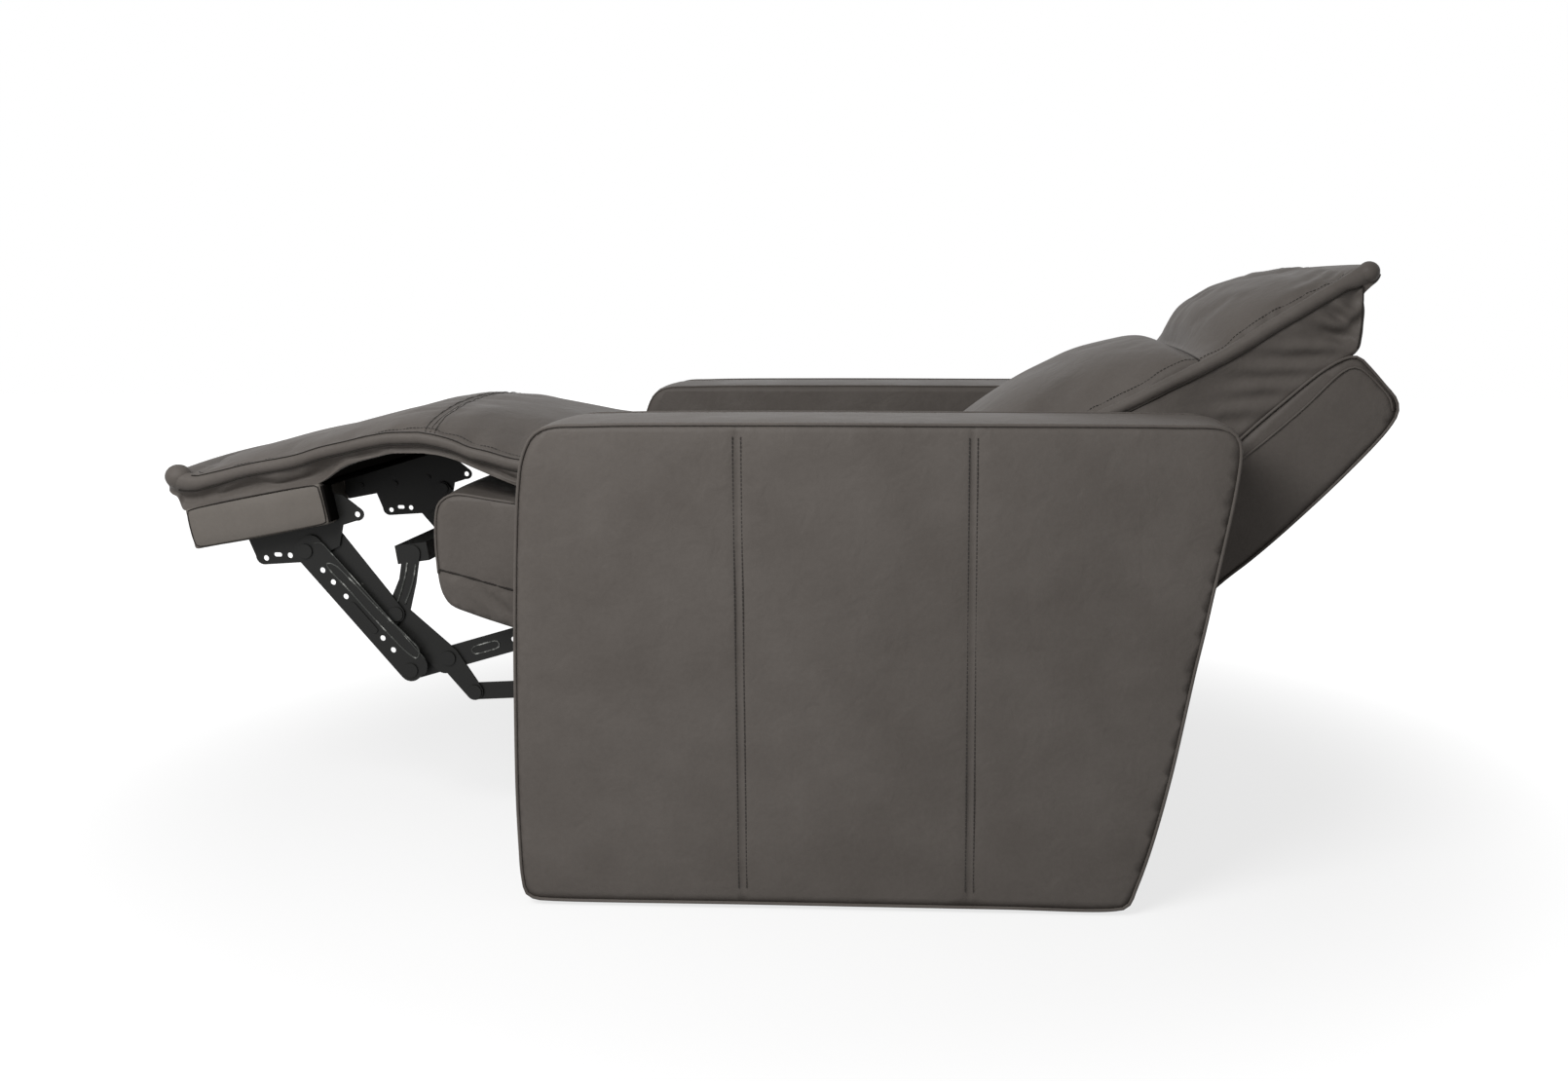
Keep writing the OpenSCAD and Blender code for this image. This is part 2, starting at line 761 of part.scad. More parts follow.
module ottoman_plate() {
  depth = board_t - board_panel_t - fit_gap;
  color(steel) {
    difference() {
      across(layer_4, link_t) polygon(concat(
        [for (s = arch_shares) board_point([s[0] * board_l, s[1] * depth])],
        arc(eye, eye_r, 45, -100),
        [heel_top, heel_low],
        arc(pivot_c, link_w / 2, -40, -90),
        arc(tab_front, tab_r, 270, 180),
        [board_point([tab_top_share * board_l, 0])]
      ));
      pin(eye, fixing_hole_d, layer_4 - over, link_t + 2 * over);
      for (p = tab_holes) pin(p, fixing_hole_d, layer_4 - over, link_t + 2 * over);
      across(layer_4 - over, link_t + 2 * over)
        bar([tab_slot[0] - slot_l / 4, tab_slot[1]], [tab_slot[0] + slot_l / 4, tab_slot[1]], slot_l / 2);
    }
    for (s = rivet_shares)
      pin(board_point([s[0] * board_l, s[1] * depth]), rivet_d, layer_4 - pin_head_t, pin_head_t);
    pin(pivot_c, pin_d, layer_4 + link_t, layer_5 - layer_4 + fit_gap);
    pin(pivot_c, pin_head_d, layer_5 + link_t + fit_gap, pin_head_t);
    pin(pivot_d, pin_d, layer_3 - fit_gap, layer_4 - layer_3 + fit_gap);
    pin(pivot_d, pin_head_d, layer_3 - fit_gap - pin_head_t, pin_head_t);
  }
}

// Drive tube: turns in the mechanism plates and swings both lower links
drive_tube_d = 25;
drive_arm_angle = -110;
drive_arm_r = 64;
drive_arm_t = 6;
drive_pin_l = 18;
drive_pin = pivot_a + drive_arm_r * [cos(drive_arm_angle), sin(drive_arm_angle)];

module drive_tube() {
  reach = layer_1 + link_t;
  color(steel) {
    pin(pivot_a, drive_tube_d, -reach, 2 * reach);
    difference() {
      across(-drive_arm_t / 2, drive_arm_t) bar(pivot_a, drive_pin, slim_link_w);
      pin(pivot_a, drive_tube_d, -drive_arm_t, 2 * drive_arm_t);
    }
    pin(drive_pin, pin_d, drive_arm_t / 2, drive_pin_l);
  }
}

// A pressed rib standing on the outer face of a link, between two shares of its length
module rib(p, q, x, shares, w) {
  d = q - p;
  across(x, rib_h) bar(p + shares[0] * d, p + shares[1] * d, w);
}

// Lower link: from the drive tube to the front link, pinned to the cross link on its way
lower_hole_shares = [0.3, 0.42];

module lower_link() {
  color(steel) {
    difference() {
      across(layer_1, link_t) {
        bar(pivot_a, pivot_b, link_w);
        translate(pivot_a) circle(d = 2 * plate_margin + link_t);
      }
      pin(pivot_a, drive_tube_d + 2 * run_gap, layer_1 - over, link_t + 2 * over);
      for (s = lower_hole_shares)
        pin(pivot_a + s * (pivot_b - pivot_a), fixing_hole_d, layer_1 - over, link_t + 2 * over);
    }
    pin(pivot_x, pin_d, layer_1 + link_t, layer_3 - layer_1 - link_t);
    pin(pivot_x, pin_head_d, layer_3 - link_gap + fit_gap, pin_head_t);
    pin(pivot_b, pin_head_d, layer_1 + link_t, layer_5 - layer_1 - link_t - fit_gap);
  }
}

// Front link: the long ribbed link from the lower link up to the footrest
front_hole_shares = [0.17, 0.27, 0.62, 0.74, 0.84];
front_rib_shares = [0.34, 0.55];
front_link_lip = -10;

module front_link() {
  d = pivot_c - pivot_b;
  color(steel) {
    difference() {
      union() {
        across(layer_5, link_t) lipped_bar(pivot_b, pivot_c, link_w, front_link_lip);
        rib(pivot_b, pivot_c, layer_5 + link_t, front_rib_shares, link_w / 4);
      }
      pin(pivot_c, pin_d + 2 * run_gap, layer_5 - over, link_t + 2 * over);
      for (s = front_hole_shares)
        pin(pivot_b + s * d, fixing_hole_d, layer_5 - over, link_t + rib_h + 2 * over);
    }
    pin(pivot_b, pin_head_d, layer_5 + link_t, pin_head_t);
  }
}

// Rear link: runs beside the front link from the cross link up to the footrest. A lip along its
// front edge stiffens it and reaches under the front link.
rear_link_lip = 8.5;

module rear_link() {
  color(steel) {
    difference() {
      across(layer_3, link_t) lipped_bar(pivot_e, pivot_d, slim_link_w, rear_link_lip);
      pin(pivot_d, pin_d + 2 * run_gap, layer_3 - over, link_t + 2 * over);
    }
    pin(pivot_e, pin_head_d, layer_3 + link_t, pin_head_t);
  }
}

// Cross link: from the crank, across the lower link, up to the rear link, then on in a curved arm
arm_bend = [-513, 366];
cross_link_lip = 8;

module cross_link() {
  color(steel) {
    difference() {
      across(layer_2, link_t) {
        strip([pivot_j, pivot_x, pivot_e, arm_bend, bar_mid],
          [slim_link_w, link_w, link_w, slim_link_w, slim_link_w]);
        lipped_bar(pivot_x, pivot_e, link_w, cross_link_lip);
      }
      pin(pivot_x, pin_d + 2 * run_gap, layer_2 - over, link_t + 2 * over);
    }
    pin(pivot_j, pin_head_d, layer_2 + link_t, pin_head_t);
  }
}

// Cross bar: a flat tube that makes both linkages move together
module cross_bar() {
  color(steel) translate([0, bar_mid[0], bar_mid[1]]) rotate([bar_tilt, 0, 0])
    translate([-layer_2, -cross_bar_w / 2, -cross_bar_t / 2]) cube([2 * layer_2, cross_bar_w, cross_bar_t]);
}

// Crank: steadies the lower end of the cross link
crank_bend = [-350, 213];

module crank() {
  color(steel) difference() {
    across(layer_1, link_t)
      strip([pivot_j, crank_bend, pivot_g], [slim_link_w, slim_link_w, slim_link_w]);
    pin(pivot_g, pin_d + 2 * run_gap, layer_1 - over, link_t + 2 * over);
  }
}

// Footrest drive: a second motor on the carriage moves a forked nut that swings the drive tube's arm
drive_screw_x = 38;
drive_screw_z = 236;
drive_screw_front_y = -304;
drive_motor_y = -62;
drive_motor_h = 62;
fork_wall = 10;
fork_slot = 16;
fork_l = 44;
fork_h = 26;
nut_block_h = 30;

module footrest_motor() {
  low = drive_screw_z - drive_motor_h / 2;
  color(plastic) difference() {
    union() {
      translate([drive_screw_x - motor_w / 2, drive_motor_y, low]) cube([motor_w, motor_l, drive_motor_h]);
      translate([drive_screw_x - nut_w / 2, rear_tube_y - nut_l / 2, tube_z]) cube([nut_w, nut_l, low - tube_z]);
    }
    pin([rear_tube_y, tube_z], tube_d + 2 * run_gap, drive_screw_x - motor_w, 2 * motor_w);
    translate([drive_screw_x, drive_motor_y - over, drive_screw_z]) rotate([-90, 0, 0])
      cylinder(d = screw_d + 2 * run_gap, h = motor_l / 2 + over);
  }
}

module footrest_screw() {
  color(steel) translate([drive_screw_x, drive_screw_front_y, drive_screw_z]) rotate([-90, 0, 0])
    cylinder(d = screw_d, h = drive_motor_y + motor_l / 2 - drive_screw_front_y);
}

module footrest_nut() {
  y = drive_pin[0];
  x0 = drive_arm_t / 2 + link_gap;
  color(plastic) {
    difference() {
      translate([drive_screw_x - nut_block_h / 2, y - fork_l / 2, drive_screw_z - nut_block_h / 2])
        cube([nut_block_h, fork_l, nut_block_h]);
      translate([drive_screw_x, y - fork_l, drive_screw_z]) rotate([-90, 0, 0])
        cylinder(d = screw_d + 2 * run_gap, h = 2 * fork_l);
    }
    for (s = [-1, 1])
      translate([x0, y + s * (fork_slot + fork_wall) / 2 - fork_wall / 2, drive_screw_z - nut_block_h / 2])
        cube([drive_screw_x - nut_block_h / 2 - x0, fork_wall, nut_block_h + fork_h / 2]);
  }
}

// Back: drawn in its own directions, along the slope and out from the rear face
module in_back() {
  translate([0, back_y, back_z]) rotate([back_slope, 0, 0]) children();
}

shell_rear_n = -10;
shell_front_n = shell_rear_n + shell_t;
shell_r = 24;
shell_top_r = 14;
shell_top_n = 92;

function shell_outline(inset) = concat(
  arc([shell_low_u + shell_r, shell_rear_n + shell_r], shell_r - inset, 180, 270),
  arc([shell_top_u - shell_r, shell_rear_n + shell_r], shell_r - inset, 270, 360),
  arc([shell_top_u - shell_top_r, shell_top_n - shell_top_r], shell_top_r - inset / 2, 0, 80),
  [[shell_top_u / 2, shell_front_n + shell_wall / 2 - inset], [shell_low_u + inset, shell_front_n - inset]]
);

// Outer back: a padded tub with a rear wall, two sides, a bottom and a top
module back_shell() {
  color(leather) in_back() difference() {
    full_width(seat_x) polygon(shell_outline(0));
    full_width(seat_x - shell_wall) polygon([
      [shell_low_u + shell_wall, shell_rear_n + shell_wall],
      [shell_top_u - shell_wall, shell_rear_n + shell_wall],
      [shell_top_u - shell_wall, shell_top_n - shell_wall],
      [shell_top_u - 2 * shell_wall, shell_front_n + shell_wall],
      [shell_low_u + shell_wall, shell_front_n + shell_wall]
    ]);
  }
}

// Depth that the cushions' places are shares of, and the share where their underside lies
back_depth = 300;
back_low_share = 0.385;

// Back panel: plywood across the tub, carrying the cushions
back_panel_n = back_depth * back_low_share - foam_gap - back_panel_t;
back_panel_low_u = -196;
back_panel_high_u = 294;

module back_panel() {
  half = seat_x - shell_wall - fit_gap;
  color(wood) in_back() translate([-half, back_panel_low_u, back_panel_n])
    cube([2 * half, back_panel_high_u - back_panel_low_u, back_panel_t]);
}

// Back hinge irons: from under the panel, round its lower end and up to the seat frame's lug
iron_foot_l = 150;
iron_w = 38;
hinge_u = (hinge_y - back_y) * cos(back_slope) + (hinge_z - back_z) * sin(back_slope);
hinge_n = (hinge_z - back_z) * cos(back_slope) - (hinge_y - back_y) * sin(back_slope);

module back_hinge() {
  x = hinge_lug_x + hinge_t;
  foot_n = back_panel_n - iron_w / 2;
  heel = [back_panel_low_u - iron_w / 2 - hinge_t, foot_n];
  color(steel) {
    in_back() across(x + link_gap, hinge_t)
      strip([[hinge_u, hinge_n], heel, [back_panel_low_u + iron_foot_l, foot_n]], [iron_w, iron_w, iron_w]);
    pin([hinge_y, hinge_z], pin_d, x - hinge_t - fit_gap, 2 * hinge_t + link_gap + fit_gap);
    pin([hinge_y, hinge_z], pin_head_d, x - hinge_t - fit_gap - pin_head_t, pin_head_t);
  }
}

// Cushions of the back. Sizes along the slope are shares of each cushion's length; sizes out from
// the rear face are shares of back_depth: [place, width, low, edge, crown, seam dip]
lumbar_low_u = -364;
lumbar_top_u = 179;
head_low_u = 203;
head_top_u = 432;

function back_rings(table, low, high) = [for (t = table)
  [low + t[0] * (high - low), seat_x * t[1], back_depth * t[2], back_depth * t[3], back_depth * t[4], t[5]]];

lumbar_shares = [
  [0.000, 0.855, 0.74, 0.80, 0.87, -0.2],
  [0.030, 0.870, 0.68, 0.95, 1.13, 0.3],
  [0.080, 0.875, 0.62, 1.08, 1.28, 1],
  [0.145, 0.875, 0.52, 1.13, 1.34, 1],
  [0.210, 0.875, 0.44, 1.14, 1.355, 1],
  [0.262, 0.875, back_low_share, 1.13, 1.35, 1],
  [0.330, 0.885, back_low_share, 1.10, 1.325, 1],
  [0.400, 0.960, back_low_share, 1.05, 1.295, 1],
  [0.512, 1.00, back_low_share, 0.98, 1.26, 1],
  [0.668, 1.00, back_low_share, 0.91, 1.20, 1],
  [0.750, 1.00, back_low_share, 0.86, 1.155, 1],
  [0.831, 1.00, back_low_share, 0.81, 1.10, 1],
  [0.923, 1.00, back_low_share, 0.745, 1.00, 1],
  [0.978, 1.00, back_low_share, 0.70, 0.93, 0.8],
  [1.000, 0.98, 0.400, 0.66, 0.85, -0.2]
];

head_shares = [
  [0.000, 0.98, 0.43, 0.655, 0.845, -0.2],
  [0.045, 1.00, 0.43, 0.665, 0.885, 0.8],
  [0.120, 1.00, 0.43, 0.655, 0.893, 1],
  [0.260, 1.00, 0.43, 0.635, 0.875, 1],
  [0.390, 1.00, 0.43, 0.605, 0.850, 1],
  [0.510, 1.00, 0.43, 0.575, 0.800, 1],
  [0.620, 1.00, 0.40, 0.560, 0.760, 1],
  [0.720, 1.00, 0.385, 0.545, 0.700, 1],
  [0.850, 1.00, 0.42, 0.515, 0.615, 1],
  [0.950, 0.99, 0.45, 0.490, 0.545, 0.7],
  [1.000, 0.96, 0.440, 0.485, 0.530, -0.2]
];

module lumbar_cushion() {
  color(leather) in_back() padded(back_rings(lumbar_shares, lumbar_low_u, lumbar_top_u));
}

module head_cushion() {
  color(leather) in_back() padded(back_rings(head_shares, head_low_u, head_top_u));
}

// Head hinge: a shaft in the crease between the cushions, in brackets on the back panel
head_axis_u = (lumbar_top_u + head_low_u) / 2;
head_axis_n = 222;
head_shaft_d = 10;
head_bracket_x = 150;
head_bracket_t = 8;
head_bracket_w = 15;
head_plate_t = 3;
head_plate_l = 112;
head_plate_half = 200;
head_motor_d = 16;
head_motor_l = 90;
head_post_w = 10;

module head_brackets() {
  base_n = back_panel_n + back_panel_t;
  color(steel) in_back() both() difference() {
    across(head_bracket_x, head_bracket_t) {
      translate([head_axis_u - head_bracket_w / 2, base_n]) square([head_bracket_w, head_axis_n - base_n]);
      translate([head_axis_u, head_axis_n]) circle(d = head_bracket_w);
    }
    pin([head_axis_u, head_axis_n], head_shaft_d + 2 * run_gap, head_bracket_x - over, head_bracket_t + 2 * over);
  }
}

module head_shaft() {
  half = head_plate_half - head_bracket_t;
  color(steel) in_back() pin([head_axis_u, head_axis_n], head_shaft_d, -half, 2 * half);
}

module headrest_motor() {
  base_n = back_panel_n + back_panel_t;
  color(plastic) in_back() difference() {
    union() {
      pin([head_axis_u, head_axis_n], head_motor_d, -head_motor_l / 2, head_motor_l);
      translate([-head_motor_l / 2, head_axis_u - head_post_w / 2, base_n])
        cube([head_motor_l, head_post_w, head_axis_n - base_n]);
    }
    pin([head_axis_u, head_axis_n], head_shaft_d + 2 * run_gap, -head_motor_l, 2 * head_motor_l);
  }
}

module head_plate() {
  low_n = back_depth * head_shares[0][2] - foam_gap - head_plate_t;
  leg_u = head_low_u - foam_gap - head_plate_t;
  knuckle_x = head_bracket_x + 2 * head_bracket_t;
  color(steel) in_back() {
    translate([-head_plate_half, leg_u, low_n]) cube([2 * head_plate_half, head_plate_l, head_plate_t]);
    both() difference() {
      across(knuckle_x, 2 * head_bracket_t) {
        translate([leg_u, low_n]) square([head_plate_t, head_axis_n - low_n]);
        translate([head_axis_u, head_axis_n]) circle(d = head_bracket_w);
        translate([head_axis_u, head_axis_n - head_plate_t]) square([leg_u - head_axis_u, 2 * head_plate_t]);
      }
      pin([head_axis_u, head_axis_n], head_shaft_d + 2 * run_gap, knuckle_x - over, 2 * head_bracket_t + 2 * over);
    }
  }
}

arm_cover();  // arm_cover_left
right() arm_cover(true);  // arm_cover_right
arm_frame();  // arm_frame_left
right() arm_frame();  // arm_frame_right
floor_glides();
cross_rail(front_rail_y);  // front_cross_rail
cross_rail(rear_rail_y);  // rear_cross_rail
rail_bolts();
slide_tracks();
recline_motor();
recline_screw();
power_inlet();
control_panel();
button(0);  // button_recline
button(1);  // button_upright
button(2);  // button_head_up
button(3);  // button_head_down
seat_pad();
seat_foam();
seat_webbing();
seat_box_cover();
seat_rail();  // seat_rail_left
right() seat_rail();  // seat_rail_right
seat_cross_rail(seat_rail_front_y);  // seat_rail_front
seat_cross_rail(seat_rail_rear_y - seat_cross_w);  // seat_rail_rear
mechanism_plate();  // mechanism_plate_left
right() mechanism_plate();  // mechanism_plate_right
carriage_tubes();
glide_shoes();
recline_nut();
footrest_motor();
footrest_screw();
footrest_nut();
back_shell();
back_panel();
back_hinge();  // back_hinge_left
right() back_hinge();  // back_hinge_right
lumbar_cushion();
head_brackets();
headrest_motor();
head_shaft();
head_plate();
head_cushion();
footrest_pad();
footrest_board();
ottoman_plate();  // ottoman_plate_left
right() ottoman_plate();  // ottoman_plate_right
lower_link();  // lower_link_left
right() lower_link();  // lower_link_right
drive_tube();
front_link();  // front_link_left
right() front_link();  // front_link_right
rear_link();  // rear_link_left
right() rear_link();  // rear_link_right
cross_link();  // cross_link_left
right() cross_link();  // cross_link_right
cross_bar();
crank();  // crank_left
right() crank();  // crank_right
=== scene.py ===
# %% [markdown]
# # A power recliner in grey leather, reclined with its footrest out
# This lesson dresses a solid model of a power recliner. The solids already have the right places and
# they already move, so each step here takes one part of the real chair, such as an arm or the chaise
# pad, and gives it the form, the seams and the finish that an upholsterer would give it.
# All lengths are metres. The chair faces -Y, +Z is up and +X is the sitter's left.

# %% Load the solid model and keep its box
import json
import math
import bmesh
import bpy
import numpy as np
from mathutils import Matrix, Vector
from mathutils.geometry import delaunay_2d_cdt


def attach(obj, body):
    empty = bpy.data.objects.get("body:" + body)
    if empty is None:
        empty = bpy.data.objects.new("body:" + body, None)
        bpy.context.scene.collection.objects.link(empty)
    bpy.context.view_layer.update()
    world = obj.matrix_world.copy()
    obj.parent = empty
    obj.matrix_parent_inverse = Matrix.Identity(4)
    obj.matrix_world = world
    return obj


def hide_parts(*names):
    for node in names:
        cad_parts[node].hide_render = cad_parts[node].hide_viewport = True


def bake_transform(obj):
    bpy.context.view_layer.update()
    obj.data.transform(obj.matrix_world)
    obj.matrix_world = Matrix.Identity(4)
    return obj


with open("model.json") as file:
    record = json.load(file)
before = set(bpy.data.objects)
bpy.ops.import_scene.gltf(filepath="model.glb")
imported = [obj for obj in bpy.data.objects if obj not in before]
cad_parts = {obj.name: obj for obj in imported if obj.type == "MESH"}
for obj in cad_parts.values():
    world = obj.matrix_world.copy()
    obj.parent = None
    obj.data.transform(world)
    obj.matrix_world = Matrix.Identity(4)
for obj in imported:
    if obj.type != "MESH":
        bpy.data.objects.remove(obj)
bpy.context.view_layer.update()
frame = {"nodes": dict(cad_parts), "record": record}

# %% [markdown]
# ## The camera
# The photographer stood on the sitter's left, level with the back, and looked slightly down and
# slightly towards the feet. A shift moves the picture sideways without turning the camera, as a
# cropped photograph does, so the arms' upright edges stay upright.

# %% Camera at the photograph's viewpoint
MM = 0.001
LOOK_TURN = math.radians(2.88)
LOOK_DOWN = math.radians(9.10)


def put_in_scene(name, data):
    """A new object in the scene, made of this data."""
    thing = bpy.data.objects.new(name, data)
    bpy.context.scene.collection.objects.link(thing)
    return thing


cam_data = bpy.data.cameras.new("photo_camera")
camera = put_in_scene("photo_camera", cam_data)
bpy.context.scene.camera = camera
look = Vector((-math.cos(LOOK_DOWN) * math.cos(LOOK_TURN),
               -math.cos(LOOK_DOWN) * math.sin(LOOK_TURN),
               -math.sin(LOOK_DOWN)))
camera.location = (2.3134, 0.2435, 0.7616)
camera.rotation_euler = look.to_track_quat("-Z", "Y").to_euler()
cam_data.sensor_width = 36
cam_data.lens = 35.55
cam_data.shift_x = -0.059
cam_data.dof.use_dof = False
print("camera looks along", tuple(round(c, 3) for c in look))

# %% [markdown]
# ## The studio
# A furniture catalogue shows the chair on a seamless white floor. Large soft lamps overhead and in
# front light the leather without hard shadows. The white comes from the floor's own colour and from
# the world, never from stronger lamps, so the leather keeps its dark grey.

# %% Colour conversion and the one function that adds a node
def colour(hex_code):
    """A colour written as on a paint card, turned to the linear numbers that a shader needs."""
    parts = [int(hex_code[i:i + 2], 16) / 255 for i in (1, 3, 5)]
    return tuple(p / 12.92 if p <= 0.04045 else ((p + 0.055) / 1.055) ** 2.4 for p in parts) + (1.0,)


def add_node(tree, kind, settings=None, **links):
    """Adds a node, sets its properties and fills its inputs with values or with other sockets."""
    node = tree.nodes.new(kind)
    for key, value in (settings or {}).items():
        setattr(node, key, value)
    for key, value in links.items():
        name = key.replace("_", " ")
        by_number = name.startswith("in") and name[2:].isdigit()
        socket = node.inputs[int(name[2:]) if by_number else name]
        if isinstance(value, bpy.types.NodeSocket):
            tree.links.new(value, socket)
        else:
            socket.default_value = value
    return node


print("leather grey as linear numbers:", [round(c, 3) for c in colour("#625D59")])

# %% Seamless floor, white world and soft lamps
def plain_material(name):
    """A material with an empty tree, and the place on the object that its patterns are drawn by."""
    material = bpy.data.materials.new(name)
    material.use_nodes = True
    tree = material.node_tree
    tree.nodes.clear()
    return material, tree, add_node(tree, "ShaderNodeTexCoord").outputs["Object"]


def seen_directly(tree):
    """1 where the camera looks at it, also in a reflection or through glass, and 0 for its light."""
    path = add_node(tree, "ShaderNodeLightPath")
    first = add_node(tree, "ShaderNodeMath", {"operation": "MAXIMUM"},
                     in0=path.outputs["Is Camera Ray"], in1=path.outputs["Is Glossy Ray"])
    seen = add_node(tree, "ShaderNodeMath", {"operation": "MAXIMUM"},
                    in0=first.outputs[0], in1=path.outputs["Is Transmission Ray"])
    return seen.outputs[0]


def make_floor():
    mesh = bpy.data.meshes.new("studio_floor")
    mesh.from_pydata([(-9, -9, 0), (9, -9, 0), (9, 9, 0), (-9, 9, 0)], [], [(0, 1, 2, 3)])
    floor = put_in_scene("studio_floor", mesh)
    material, tree, place = plain_material("white floor")
    away = add_node(tree, "ShaderNodeVectorMath", {"operation": "LENGTH"}, in0=place)
    fade = add_node(tree, "ShaderNodeMapRange", {"interpolation_type": "SMOOTHSTEP"},
                    Value=away.outputs["Value"], From_Min=0.75, From_Max=1.7, To_Min=0.62, To_Max=1.0)
    share = add_node(tree, "ShaderNodeMath", {"operation": "MULTIPLY"},
                     in0=fade.outputs[0], in1=seen_directly(tree))
    card = add_node(tree, "ShaderNodeBsdfPrincipled", Base_Color=colour("#CFCFCF"), Roughness=0.9)
    white = add_node(tree, "ShaderNodeEmission", Color=colour("#FFFFFF"), Strength=1.22)
    both = add_node(tree, "ShaderNodeMixShader",
                    in0=share.outputs[0], in1=card.outputs[0], in2=white.outputs[0])
    add_node(tree, "ShaderNodeOutputMaterial", Surface=both.outputs[0])
    mesh.materials.append(material)


def make_world():
    world = bpy.data.worlds.new("white studio")
    bpy.context.scene.world = world
    world.use_nodes = True
    tree = world.node_tree
    tree.nodes.clear()
    level = add_node(tree, "ShaderNodeMapRange", Value=seen_directly(tree), To_Min=0.22, To_Max=1.0)
    glow = add_node(tree, "ShaderNodeBackground", Color=colour("#FFFFFF"), Strength=level.outputs[0])
    add_node(tree, "ShaderNodeOutputWorld", Surface=glow.outputs[0])


def soft_lamp(name, place, target, size, watts):
    data = bpy.data.lights.new(name, "AREA")
    data.shape = "RECTANGLE"
    data.size, data.size_y = size
    data.energy = watts
    lamp = put_in_scene(name, data)
    lamp.location = place
    lamp.rotation_euler = (Vector(target) - Vector(place)).to_track_quat("-Z", "Y").to_euler()


make_floor()
make_world()
soft_lamp("overhead softbox", (0.6, -0.2, 3.0), (0, 0, 0.5), (3.0, 3.0), 5)
soft_lamp("front softbox", (2.0, -0.9, 1.85), (0.3, -0.1, 0.55), (1.2, 1.2), 54)
bpy.context.scene.view_settings.view_transform = "Standard"
print("studio ready")

# %% [markdown]
# ## Leather
# The hide is a dark warm grey with a soft, nearly matt finish. Close up it has a fine pebble grain
# about 2 mm across, and it is a little lighter and darker in soft patches as wide as a hand, where it
# was stretched over the padding. Three patterns make that look: slow noise for the patches, noise
# drawn out over a few centimetres for the pull lines, and a cell pattern for the grain. The last two
# only change the height of the surface, so they show in the way the light runs over it.

# %% The leather finish
GRAIN = 2.4 * MM        # the real grain is 1 to 2 mm; drawn slightly coarser so that it shows
PATCH = 110 * MM
PULL = 32 * MM


def leather(name, light, dark, pull_depth=0.5 * MM, gloss=0.47):
    """Hide: soft patches of two close shades, long shallow pulls and a fine pebble grain."""
    material, tree, place = plain_material(name)
    patches = add_node(tree, "ShaderNodeTexNoise", Vector=place, Scale=1 / PATCH, Detail=3.0, Roughness=0.55)
    fine = add_node(tree, "ShaderNodeTexNoise", Vector=place, Scale=1 / (6 * MM), Detail=2.0)
    both = add_node(tree, "ShaderNodeMix", {"data_type": "FLOAT"},
                    in0=0.22, in2=patches.outputs["Fac"], in3=fine.outputs["Fac"])
    spread = add_node(tree, "ShaderNodeMapRange", Value=both.outputs[0], From_Min=0.25, From_Max=0.75)
    tint = add_node(tree, "ShaderNodeMix", {"data_type": "RGBA"},
                    in0=spread.outputs[0], in6=colour(dark), in7=colour(light))
    drawn = add_node(tree, "ShaderNodeTexNoise", Vector=place, Scale=1 / PULL, Detail=4.0, Distortion=0.6)
    pulls = add_node(tree, "ShaderNodeBump",
                     Height=drawn.outputs["Fac"], Strength=0.55, Distance=pull_depth * 6)
    grain = add_node(tree, "ShaderNodeTexVoronoi", Vector=place, Scale=1 / GRAIN)
    skin = add_node(tree, "ShaderNodeBump", Height=grain.outputs["Distance"], Strength=0.35,
                    Distance=0.25 * MM, Normal=pulls.outputs[0])
    sheen = add_node(tree, "ShaderNodeMapRange", Value=patches.outputs["Fac"], From_Min=0.3, From_Max=0.7,
                     To_Min=gloss - 0.05, To_Max=gloss + 0.07)
    hide = add_node(tree, "ShaderNodeBsdfPrincipled", Base_Color=tint.outputs[2], Roughness=sheen.outputs[0],
                    IOR=1.45, Specular_IOR_Level=0.1, Normal=skin.outputs[0])
    add_node(tree, "ShaderNodeOutputMaterial", Surface=hide.outputs[0])
    return material


# Dyed through and lightly sanded: an even warm grey that hardly shines
HIDE = leather("satin grey leather", "#605B57", "#534E4A")
# The same hide on the tray, with flatter pulls, and in a lighter colour that is painted light
LIT_BOARD_HIDE = leather("taut grey leather", "#6C6762", "#605B56", pull_depth=0.25 * MM, gloss=0.5)
# Hide folded over a cord, in a dark colour that is painted shade: the seams' creases lie in their own shade
SEAM_SHADE_HIDE = leather("folded seam leather", "#2E2B28", "#24211F", pull_depth=0.2 * MM, gloss=0.55)
print("leathers:", HIDE.name, LIT_BOARD_HIDE.name, SEAM_SHADE_HIDE.name)

# %% [markdown]
# ## Steel, plastic, wood, foam and thread
# The folding linkage is pressed steel under a thin black paint that has rubbed bright in places. Pins,
# screws and bolts are bare zinc-plated steel. The frame hidden in the arms and back is pale plywood, the
# motors and glides are matt moulded plastic, and the seat rests on foam over black webbing. Thread is a
# bonded polyester, a shade darker than the hide.

